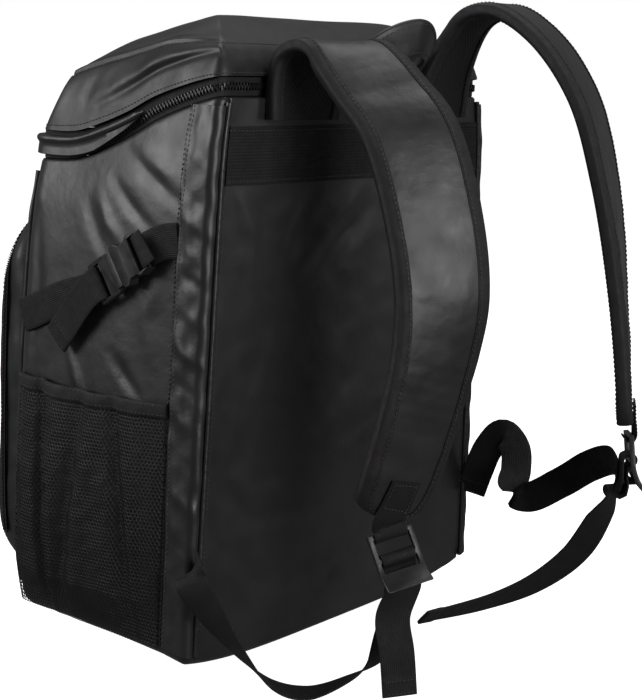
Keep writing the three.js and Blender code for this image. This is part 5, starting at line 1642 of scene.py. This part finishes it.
@dataclass
class Strapping:
    """Flat woven webbing laid along routes."""

    wardrobe: Wardrobe
    width: float = 25.0
    thick: float = 1.5

    def lay(self, name: str, path: Route, node: str, rests: Sequence[str],
            hems: tuple[bool, bool] = (False, False), seams: Seams | None = None) -> None:
        """Makes one length of webbing: a flat section with round edges carried along the route.

        Args:
            name: Name of the piece.
            path: Its route.
            node: Node that it stands for.
            rests: Not used.
            hems: Whether the start and the end are folded back and sewn, which doubles them.
            seams: Where the hem's stitches go.
        """
        ring = tape_ring(self.width, self.thick)
        fat = np.ones_like(path.run)
        for has, distance in zip(hems, (path.run, path.length - path.run)):
            if has:
                fat += 0.9 / (1 + np.exp((distance - 13) / 0.6))
        cup = 0.35 * ripples(path.at, 60, len(name))[:, None]
        across = np.broadcast_to(ring[:, 0], (len(path.run), len(ring)))
        way = unit(np.gradient(path.at, axis=0))
        bend = (np.gradient(way, path.run, axis=0) * path.side).sum(1)[:, None]
        tight = across * bend > 0.8
        across = np.where(tight, 0.8 / np.where(tight, bend, 1), across)
        out = ring[:, 1] * fat[:, None] + cup * ((ring[:, 0] / (self.width / 2)) ** 2 - 0.4)
        skin = Skin()
        skin.tube(path.lay(across, out), pattern(path.run[:, None], across))
        piece = dress(skin.build(name), self.wardrobe.web, "webbing", node)
        if seams is not None:
            for has, spot in zip(hems, (2.0, path.length - 2.0)):
                if has:
                    step = 9 if spot < 20 else -9
                    for at in (spot, spot + step):
                        self.cross_stitch(path, at, seams, self.thick * 0.95)
        return piece

    def cross_stitch(self, path: Route, at: float, seams: Seams, lift: float) -> None:
        """Sews a row across the webbing on both faces at a distance along it.

        Args:
            path: Route of the webbing.
            at: Distance along it.
            seams: Where the stitches go.
            lift: Half thickness of the webbing there.
        """
        middle, side, out = (read(v, path.run, np.array(at)) for v in (path.at, path.side, path.out))
        span = np.linspace(-self.width / 2 + 2, self.width / 2 - 2, 12)[:, None]
        for face in (1, -1):
            line = middle + span * side + face * lift * out
            seams.sew(line, np.tile(face * out, (len(span), 1)), 2.8)


@dataclass
class SideStrap:
    """The compression strap of one side with its side-release buckle."""

    wardrobe: Wardrobe
    side: Side
    slope: float = 34.0
    standoff: float = 7.6
    bar: float = 3.5
    length: float = 54.0

    def spot(self, x: float, y: float, z: float) -> list[float]:
        """Place in the buckle's own frame: x along the strap, y across it, z out of the bag's side."""
        angle = math.radians(self.slope)
        middle = FORM.on_side(Side.RIGHT, (FORM.back + FORM.front) / 2 + 0.104 * FORM.depth,
                              0.683 * FORM.height, self.standoff)
        return [middle[0] + z, middle[1] + x * math.cos(angle) - y * math.sin(angle),
                middle[2] + x * math.sin(angle) + y * math.cos(angle)]

    def mirror(self, points: Array) -> Array:
        """Points of the right side on this side."""
        return np.asarray(points, float) * [self.side.value, 1, 1]

    def build(self) -> None:
        """Makes the anchor, the buckle and the long webbing with its free tail."""
        strapping = Strapping(self.wardrobe)
        seams = Seams()
        angle = math.radians(self.slope)
        across = np.array([0, -math.sin(angle), math.cos(angle)])
        end, bar = self.length / 2, self.length / 2 - self.bar / 2
        wrap = self.bar / 2 + strapping.thick / 2 + 0.6
        sewn = [FORM.on_side(Side.RIGHT, 62.8, 0.7425 * FORM.height, 1.9),
                FORM.on_side(Side.RIGHT, 52.668, 0.7385 * FORM.height, 3.3)]
        points = [*sewn, self.spot(bar + 5, 0, -wrap - 1), self.spot(bar, 0, -wrap - 0.6),
                  self.spot(bar - wrap, 0, -1.8), self.spot(bar - wrap - 0.3, 0, 0),
                  self.spot(bar - wrap, 0, 1.8), self.spot(bar, 0, wrap + 0.6), self.spot(bar + 9, 1, wrap)]
        upright = np.array([0.0, 0, 1])
        ways = [upright, upright] + [across] * (len(points) - 2)
        path = route(self.mirror(points), self.mirror(ways), 1.2)
        strapping.lay(f"anchor_webbing_{self.side.tag}", path, f"strap_anchor_{self.side.tag}",
                      [f"side_strip_{self.side.tag}"])

        plug = self.bar / 2 - end
        gap = strapping.thick / 2 + self.bar / 2 + 1.4
        corner, front = FORM.front_corner, FORM.front
        on_bag = [FORM.on_side(Side.RIGHT, front + 0.35 * corner, 0.56 * FORM.height, 3.0),
                  FORM.on_side(Side.RIGHT, front + 1.2 * corner, 0.575 * FORM.height, 3.3),
                  FORM.on_side(Side.RIGHT, front * 0.5 - 2.016, 0.605 * FORM.height, 2.7)]
        through_plug = [self.spot(*row) for row in (
            (plug - 9, 1, -gap - 0.6), (plug - 1, 0, -gap), (plug + gap - 0.4, 0, -1.8), (plug + gap, 0, 0),
            (plug + gap - 0.4, 0, 1.8), (plug - 1, 0, gap), (plug - 12, -1, gap), (plug - 60, -14, 1))]
        tilted = unit(across + [0, 0.2, 0])
        ways = [tilted] * 3 + [across] * len(through_plug)
        path = route(self.mirror(on_bag + through_plug), self.mirror(ways), 1.4)
        strapping.lay(f"side_webbing_{self.side.tag}", path, f"compression_webbing_{self.side.tag}",
                      ["tub"], (False, True), seams)
        seams.build(f"side_stitches_{self.side.tag}", self.wardrobe.thread, "webbing")
        for node, width in ((f"buckle_socket_{self.side.tag}", 0.7), (f"buckle_plug_{self.side.tag}", 0.5)):
            dress(softened(node, f"moulded_{node}", width), self.wardrobe.plastic, "plastic", node)


# Shoulder straps


class StrapRows(Enum):
    """Middle line of each shoulder strap: across, back and up as shares, with the turn in degrees."""

    RIGHT = (
        (0.475, 0.037, 0.956, 4), (0.472, 0.045, 1.015, 10), (0.47, 0.085, 1.062, 20), (0.47, 0.2, 1.078, 31),
        (0.475, 0.4, 1.008, 37), (0.475, 0.53, 0.942, 38), (0.482, 0.66, 0.788, 34),
        (0.485, 0.706, 0.67, 29), (0.488, 0.695, 0.583, 22), (0.497, 0.661, 0.494, 18),
        (0.505, 0.589, 0.361, 20), (0.514, 0.525, 0.278, 28),
    )
    LEFT = (
        (-0.478, 0.037, 0.956, 0), (-0.469, 0.083, 1.053, -6), (-0.467, 0.198, 1.142, -14),
        (-0.45, 0.354, 1.16, -14), (-0.455, 0.535, 1.115, -15), (-0.465, 0.715, 1.01, -17),
        (-0.475, 0.825, 0.862, -20), (-0.495, 0.91, 0.65, -26), (-0.515, 0.952, 0.47, -30),
        (-0.525, 0.96, 0.411, -31),
    )


class AdjusterRows(Enum):
    """Route of each adjuster up to its lock, and its free tail: shares and the way of the width."""

    RIGHT = (
        (0.989, 0.022, 0.183, 0, 0, 1), (1.06, 0.04, 0.16, -0.4, 0.9, 0.6),
        (1.033, 0.104, 0.112, -0.1, 1, 0.5),
        (0.955, 0.195, 0.035, 0.4, 0.9, 0.3), (0.84, 0.28, -0.03, 0.75, 0.65, 0.1),
        (0.712, 0.35, -0.05, 0.85, 0.5, 0), (0.578, 0.43, -0.032, 0.9, 0.35, 0),
        (0.485, 0.5, 0.003, 0.95, 0, 0), (0.47, 0.55, 0.06, 0.9, -0.4, 0),
    )
    LEFT = (
        (-0.975, 0.016, 0.156, -0.48, 0.73, -0.47), (-0.96, 0.06, 0.209, -0.48, 0.73, -0.47),
        (-0.953, 0.11, 0.263, -0.4, 0.65, -0.64), (-0.965, 0.17, 0.296, -0.06, 0.34, -0.94),
        (-0.993, 0.22, 0.268, 0.62, -0.66, -0.39), (-0.943, 0.26, 0.228, 0.62, -0.79, 0.05),
        (-0.847, 0.3, 0.196, 0.44, -0.7, 0.56), (-0.877, 0.36, 0.184, 0.16, -0.45, 0.86),
        (-0.906, 0.5, 0.225, 0.16, -0.45, 0.86), (-0.78, 0.7, 0.288, 0.16, -0.45, 0.86),
        (-0.669, 0.85, 0.32, 0.5, 0.2, 0.7),
    )
    TAIL_RIGHT = (
        (0.53, 0.6, 0.1, 0.75, -0.66, 0), (0.535, 0.63, 0.04, 0.75, -0.66, 0),
        (0.53, 0.65, -0.038, 0.75, -0.66, 0),
    )
    TAIL_LEFT = (
        (-0.607, 0.9, 0.281, 0.8, 0.5, 0.2), (-0.651, 0.83, 0.215, 0.87, -0.08, 0.47),
        (-0.702, 0.7, 0.116, 0.71, -0.11, 0.69), (-0.65, 0.55, 0.043, 0.67, 0.07, 0.72),
        (-0.506, 0.42, 0.005, 0.69, 0.3, 0.65), (-0.2, 0.28, -0.014, 0.71, 0.46, 0.52),
    )


@dataclass(frozen=True)
class LockPlace:
    """Place of a ladder lock in shares, with the way down it and the way across it."""

    spot: tuple[float, float, float]
    down: tuple[float, float, float]
    side: tuple[float, float, float]

    def frame(self) -> tuple[Array, Array, Array, Array]:
        """Origin and the ways across, out of and up the lock."""
        down = unit(np.array(self.down, float))
        side = np.array(self.side, float)
        side = unit(side - (side @ down) * down)
        return settle(np.array([self.spot], float))[0], side, np.cross(-down, side), -down


LOCKS = {
    Side.RIGHT: LockPlace((0.513, 0.6, 0.205), (0.05, 0.5, -0.86), (0.8, -0.6, 0)),
    Side.LEFT: LockPlace((-0.54, 0.995, 0.342), (0, 0.15, -0.99), (0.8, 0.6, 0)),
}


@dataclass
class ShoulderStrap:
    """One padded shoulder strap with its binding, air mesh, end tab, ladder lock and adjuster."""

    wardrobe: Wardrobe
    side: Side
    width: float = 68.0
    binding: float = 2.6
    pad: float = 6.4
    air: float = 4.4
    flap: float = 10.0
    taper: tuple[tuple[float, float], ...] = ((0, 1), (0.8, 1), (0.9, 0.95), (0.96, 0.84), (1, 0.62))
    tab_shares: tuple[float, float, float] = (21.1 / 23, 22.3 / 23, 1.0)
    lock_top: float = 19.0
    lock_middle: float = 2.0
    lock_thick: float = 3.6
    lock_bar: float = 4.0

    def __post_init__(self) -> None:
        """Works out the strap's route."""
        rows = np.array(StrapRows[self.side.name].value, float)
        angle = np.radians(rows[:, 3])
        across = np.stack([np.cos(angle), -np.sin(angle), 0 * angle], -1)
        self.path = route(settle(rows), across, 1.9, (0, 0, 1))
        keys, halves = zip(*self.taper)
        half = (self.width / 2 - self.binding) * follow(keys, halves, self.path.share) + 3.0
        tip = np.clip((self.path.run - (self.path.length - 9)) / 9, 0, 0.97)
        self.half = half * np.sqrt(1 - tip**2)

    def top(self, across: Array) -> Array:
        """Height of the pad's face: a crown that falls to 0.6 at its edges, with wrinkles across it.

        Args:
            across: Distance from the middle line, a row for each station.

        Returns:
            Height over the middle line.
        """
        share = np.clip(np.abs(across) / self.half[:, None], 0, 1)
        run = self.path.run[:, None]
        place = np.stack(np.broadcast_arrays(run, across, 0 * across), -1)
        crown = self.pad * (1 - 0.36 * share**3.2)
        bends = 0.3 * np.exp(-(((run - 70) / 45) ** 2)) + 0.45 * np.exp(-(((run - 330) / 80) ** 2)) + 0.12
        cross = bends * (1.1 * ripples(place, 26, 80 + self.side.value, (1, 2.2, 1))
                         + 0.3 * ripples(place, 11, 83, (1, 2, 1)))
        soft = 0.5 * ripples(place, 70, 85 + self.side.value)
        return crown + (cross + soft) * (1 - share**4) + 0.3

    def build_pad(self) -> None:
        """Makes the padded face: a closed body from the middle line up to the crown."""
        share = np.sin(np.linspace(-1, 1, 44) * math.pi / 2 * 0.96) / math.sin(math.pi / 2 * 0.96)
        reach = (self.half - 1.6)[:, None]
        upper = reach * share[None, ::-1]
        lower = reach * np.linspace(-1, 1, 12)[None]
        across = np.concatenate([lower, upper], 1)
        out = np.concatenate([np.full_like(lower, 0.15), self.top(upper)], 1)
        skin = Skin()
        skin.tube(self.path.lay(across, out))
        piece = dress(skin.build(f"padded_strap_{self.side.tag}"), self.wardrobe.soft, "coated_cloth",
                      f"shoulder_pad_{self.side.tag}")

    def build_air(self) -> None:
        """Makes the air mesh under the pad, puffed between its edges."""
        reach = (self.half - 1.9)[:, None]
        share = np.linspace(-1, 1, 26)
        lower = reach * share[None]
        upper = reach * share[None, ::4][:, ::-1]
        across = np.concatenate([lower, upper], 1)
        depth = -self.air * (0.72 + 0.28 * (1 - np.abs(share) ** 3))[None] * np.ones_like(lower)
        out = np.concatenate([depth, np.full_like(upper, -0.15)], 1)
        skin = Skin()
        skin.tube(self.path.lay(across, out), pattern(self.path.run[:, None], across))
        piece = dress(skin.build(f"air_mesh_{self.side.tag}"), self.wardrobe.air, "net",
                      f"strap_mesh_{self.side.tag}")

    def build_binding(self, seams: Seams) -> None:
        """Makes the binding tape folded over both edges, with its stitches on the face and beneath.

        Its section runs in under the strap, round the edge and in over the face, and back 0.7 inside.
        """
        skin = Skin()
        half = self.half[:, None]
        for sign in (1, -1):
            inner = np.maximum(half - self.flap, 0.4)
            a = np.concatenate([inner, (inner + half) / 2, half - 1.5, half - 0.3, half, half, half - 0.3,
                                half - 1.8, half - 4.5, (inner + half) / 2, inner], 1)
            tops = self.top(sign * a[:, 7:])
            base = np.array([-self.air - 0.3, -self.air - 0.35, -self.air * 0.72 - 0.6,
                             -2.4, -1.0, 2.0, 3.4])
            h = np.concatenate([np.broadcast_to(base, (len(a), 7)), tops + [[0.1, 0.6, 0.7, 0.55]]], 1)
            thin = np.array([0, 0, 0.8, 0.8, 0.8, 0.8, 0.8, 0.6, 0, 0, 0])
            back_a = a - thin
            back_h = h + np.array([0.6, 0.6, 0.5, 0.2, 0, 0, -0.1, -0.5, -0.6, -0.6, -0.6])
            across = sign * np.concatenate([a, back_a[:, ::-1]], 1)
            out = np.concatenate([h, back_h[:, ::-1]], 1)
            around = np.concatenate([np.linspace(0, 34, 11), np.linspace(34, 0, 11)])
            uv = pattern(self.path.run[:, None], around[None])
            rings = self.path.lay(across, out)
            skin.tube(rings if sign > 0 else rings[:, ::-1], uv if sign > 0 else uv[:, ::-1])
            line = np.maximum(half - self.flap + 1.8, 0.6)
            keep = (self.half > self.flap) & (self.path.run > 3)
            face = self.path.lay(sign * line, self.top(sign * line) + 0.75)[:, 0]
            seams.sew(face[keep], self.path.out[keep])
            under = self.path.lay(sign * line, np.full_like(line, -self.air - 0.5))[:, 0]
            seams.sew(under[keep], -self.path.out[keep])
        piece = dress(skin.build(f"edge_binding_{self.side.tag}"), self.wardrobe.tape, "tape",
                      f"strap_binding_{self.side.tag}")

    def in_lock(self, rows: Sequence[tuple[float, float]]) -> list[Array]:
        """Places on the lock's middle plane from distances out of it and up it."""
        origin, _, out, up = LOCKS[self.side].frame()
        return [origin + y * out + z * up for y, z in rows]

    def build_tab(self, seams: Seams) -> None:
        """Makes the webbing tab from the pad's face round the lock's top bar, with its sewn box."""
        strapping = Strapping(self.wardrobe)
        _, side, _, _ = LOCKS[self.side].frame()
        round_bar = self.lock_bar / 2 + strapping.thick / 2 + 0.6
        share = np.array(self.tab_shares)
        at, out, sides = (read(v, self.path.share, share)
                          for v in (self.path.at, self.path.out, self.path.side))
        lifted = at + out * (self.pad + 1.9)
        loop = self.in_lock([(4.4, self.lock_top + 4), (round_bar + 0.6, self.lock_top),
                             (self.lock_thick / 2 - 0.2, self.lock_top - round_bar),
                             (0, self.lock_top - round_bar - 0.2), (-2, self.lock_top - round_bar + 0.2),
                             (-round_bar - 0.6, self.lock_top)])
        across = [sides[0], sides[1], (sides[2] + side) / 2] + [side] * len(loop)
        path = route(np.array([*lifted, *loop]), np.array(across), 1.3)
        strapping.lay(f"webbing_tab_{self.side.tag}", path, f"end_tab_{self.side.tag}",
                      [f"padded_strap_{self.side.tag}"])
        keep = path.run < 24
        for edge in (-9.5, 9.5):
            one = np.ones((len(path.run), 1))
            line = path.lay(edge * one, 0.9 * one)[:, 0]
            seams.sew(line[keep], path.out[keep], 2.8)
        for at in (2.5, 22.0):
            strapping.cross_stitch(path, at, seams, 0.85)

    def build_adjuster(self, seams: Seams) -> None:
        """Makes the webbing from the bag's corner through the lock and down as the free tail."""
        strapping = Strapping(self.wardrobe)
        rows = np.array(AdjusterRows[self.side.name].value, float)
        tail = np.array(AdjusterRows[f"TAIL_{self.side.name}"].value, float)
        middle, thick = self.lock_middle, self.lock_thick
        bend = self.lock_bar / 2 + strapping.thick / 2 + 0.7
        loop = self.in_lock([(-8.2, -12), (-7, -4), (-5.6, middle + 2), (-2.4, middle + bend),
                             (0, middle + bend + 0.3), (2.6, middle + bend - 0.8),
                             (thick / 2 + 1.6, middle),
                             (2.4, middle - bend + 0.6), (0, middle - bend - 0.4),
                             (-3.2, middle - bend - 2.4),
                             (-4.2, -10), (-4.2, -17)])
        _, side, _, _ = LOCKS[self.side].frame()
        points = np.array([*settle(rows), *loop, *settle(tail)])
        across = np.array([*unit(rows[:, 3:]), *([side] * len(loop)), *unit(tail[:, 3:])])
        path = route(points, across, 1.7)
        strapping.lay(f"adjuster_{self.side.tag}", path, f"adjuster_webbing_{self.side.tag}",
                      [f"moulded_ladder_lock_{self.side.tag}"], (True, True), seams)

    def build(self) -> None:
        """Makes the whole strap."""
        seams = Seams()
        self.build_pad()
        self.build_air()
        self.build_binding(seams)
        self.build_tab(seams)
        self.build_adjuster(seams)
        seams.build(f"strap_stitches_{self.side.tag}", self.wardrobe.thread, "tape")
        node = f"ladder_lock_{self.side.tag}"
        dress(softened(node, f"moulded_{node}", 0.6), self.wardrobe.plastic, "plastic", node)


@dataclass
class GrabHandle:
    """The padded band that the bag hangs by."""

    wardrobe: Wardrobe
    width: float = 28.0
    thick: float = 6.0
    rows: tuple[tuple[float, ...], ...] = (
        (0.165, 0.018, 0.985, 1, 0, 0), (0.175, 0.07, 1.035, 1, 0, 0.3), (0.17, 0.156, 1.076, 0.8, 0, 0.7),
        (0.093, 0.214, 1.099, 0.3, 0, 1), (0, 0.234, 1.107, 0, 0, 1),
    )

    def build(self) -> None:
        """Makes the band with a rounded section, wrinkled where it bends, and its two rows of stitches."""
        half = np.array(self.rows, float)
        other = half[-2::-1] * [-1, 1, 1, -1, 1, 1]
        rows = np.concatenate([half, other])
        path = route(settle(rows), unit(rows[:, 3:]), 1.3, (0, 0, 1))
        turn = np.linspace(0, 2 * math.pi, 36, endpoint=False)[None]
        soft = 1 + 0.03 * ripples(path.at, 9, 91)[:, None]
        across = self.width / 2 * np.sign(np.cos(turn)) * np.abs(np.cos(turn)) ** 0.6 * np.ones_like(soft)
        out = self.thick / 2 * np.sign(np.sin(turn)) * np.abs(np.sin(turn)) ** 0.7 * soft
        skin = Skin()
        skin.tube(path.lay(across, out))
        piece = dress(skin.build("carry_handle"), self.wardrobe.soft, "coated_cloth", "grab_handle")
        seams = Seams()
        for edge in (-10.0, 10.0):
            for face in (1, -1):
                one = np.ones((len(path.run), 1))
                line = path.lay(edge * one, face * 2.75 * one)[:, 0]
                seams.sew(line, face * path.out)
        seams.build("handle_stitches", self.wardrobe.thread, "coated_cloth")


# Studio


@dataclass
class Studio:
    """The camera, the soft lights and the pale floor."""

    wardrobe: Wardrobe
    eye: tuple[float, float, float] = (1.03876, 0.7498, 0.00924)
    azimuth: float = 128.6
    elevation: float = 10.03
    roll: float = 2.23
    focal: float = 1743.5
    long_side: float = 700.0
    floor_z: float = -0.465
    ambient: float = 0.14
    floor_reach: float = 60.0
    lamps: tuple[tuple[str, tuple[float, float, float], tuple[float, float], float], ...] = (
        ("key_light", (-1.85, 0.75, 0.6), (1.0, 1.2), 25),
        ("front_light", (1.05, 0.15, 1.5), (0.8, 1.2), 19),
        ("fill_light", (1.8, 0.5, 0.1), (0.6, 1.2), 4),
        ("top_light", (0.2, 2.2, -0.2), (2.2, 1.3), 22),
    )
    centre: tuple[float, float, float] = (0.0, -0.07, -0.2)

    def axes(self) -> tuple[Array, Array, Array]:
        """The camera's right, up and backward ways."""
        a, e, r = (math.radians(v) for v in (self.azimuth, self.elevation, self.roll))
        back = np.array([math.sin(a) * math.cos(e), -math.cos(a) * math.cos(e), math.sin(e)])
        right = unit(np.cross([0, 0, 1], back))
        up = np.cross(back, right)
        return math.cos(r) * right + math.sin(r) * up, -math.sin(r) * right + math.cos(r) * up, back

    def build_camera(self) -> None:
        """Makes the camera at the photograph's place."""
        data = bpy.data.cameras.new("camera")
        data.sensor_width, data.lens = 36.0, self.focal / self.long_side * 36.0
        data.clip_start, data.clip_end = 0.05, 200
        camera = link(bpy.data.objects.new("camera", data))
        matrix = np.eye(4)
        matrix[:3, :3] = np.stack(self.axes(), axis=1)
        matrix[:3, 3] = self.eye
        camera.matrix_world = Matrix(matrix.tolist())
        bpy.context.scene.camera = camera

    def lamp(self, name: str, place: Sequence[float], size: Sequence[float], power: float) -> None:
        """Makes one soft box that faces the bag.

        Args:
            name: Name of the light.
            place: Distances from the bag to the camera's right, upward and towards the camera.
            size: Its width and height in metres.
            power: Its power in watts.
        """
        right, up, back = self.axes()
        spot = np.array(self.centre) + place[0] * right + place[1] * up + place[2] * back
        data = bpy.data.lights.new(name, "AREA")
        data.shape, data.energy = "RECTANGLE", power
        data.size, data.size_y = size
        light = link(bpy.data.objects.new(name, data))
        away = unit(spot - np.array(self.centre))
        side = unit(np.cross([0, 0, 1], away))
        matrix = np.eye(4)
        matrix[:3, :3] = np.stack([side, np.cross(away, side), away], axis=1)
        matrix[:3, 3] = spot
        light.matrix_world = Matrix(matrix.tolist())

    def build_world(self) -> None:
        """Makes the surroundings: white behind the bag, dimmer where they only light it."""
        world = bpy.data.worlds.new("surroundings")
        bpy.context.scene.world = world
        world.use_nodes = True
        tree = world.node_tree
        back = tree.nodes["Background"]
        ray = tree.nodes.new("ShaderNodeLightPath")
        mix = tree.nodes.new("ShaderNodeMix")
        mix.inputs["A"].default_value, mix.inputs["B"].default_value = self.ambient, 1.0
        tree.links.new(ray.outputs["Is Camera Ray"], mix.inputs["Factor"])
        tree.links.new(mix.outputs["Result"], back.inputs["Strength"])
        back.inputs["Color"].default_value = (1, 1, 1, 1)

    def build(self) -> None:
        """Makes the studio."""
        self.build_camera()
        self.build_world()
        bpy.context.scene.view_settings.view_transform = "Standard"
        for lamp in self.lamps:
            self.lamp(*lamp)
        mesh = bpy.data.meshes.new("floor")
        reach = self.floor_reach
        corners = [(-reach, -reach), (reach, -reach), (reach, reach), (-reach, reach)]
        mesh.from_pydata([(x, y, self.floor_z) for x, y in corners], [], [(0, 1, 2, 3)])
        mesh.materials.append(self.wardrobe.floor)
        floor = link(bpy.data.objects.new("floor", mesh))
        floor.visible_diffuse = floor.visible_glossy = False


def main() -> None:
    """Builds every sub-assembly in order."""
    logging.basicConfig(level=logging.INFO, format="%(name)s %(message)s")
    wardrobe = Wardrobe()
    Studio(wardrobe).build()
    Tub(wardrobe).build()
    Panels(wardrobe).build()
    Lid(wardrobe).build()
    FrontPocket(wardrobe).build()
    for side in Side:
        NetPocket(wardrobe, side).build()
        SideStrap(wardrobe, side).build()
        ShoulderStrap(wardrobe, side).build()
    GrabHandle(wardrobe).build()
    bpy.context.view_layer.update()


if __name__ == "__main__":
    main()
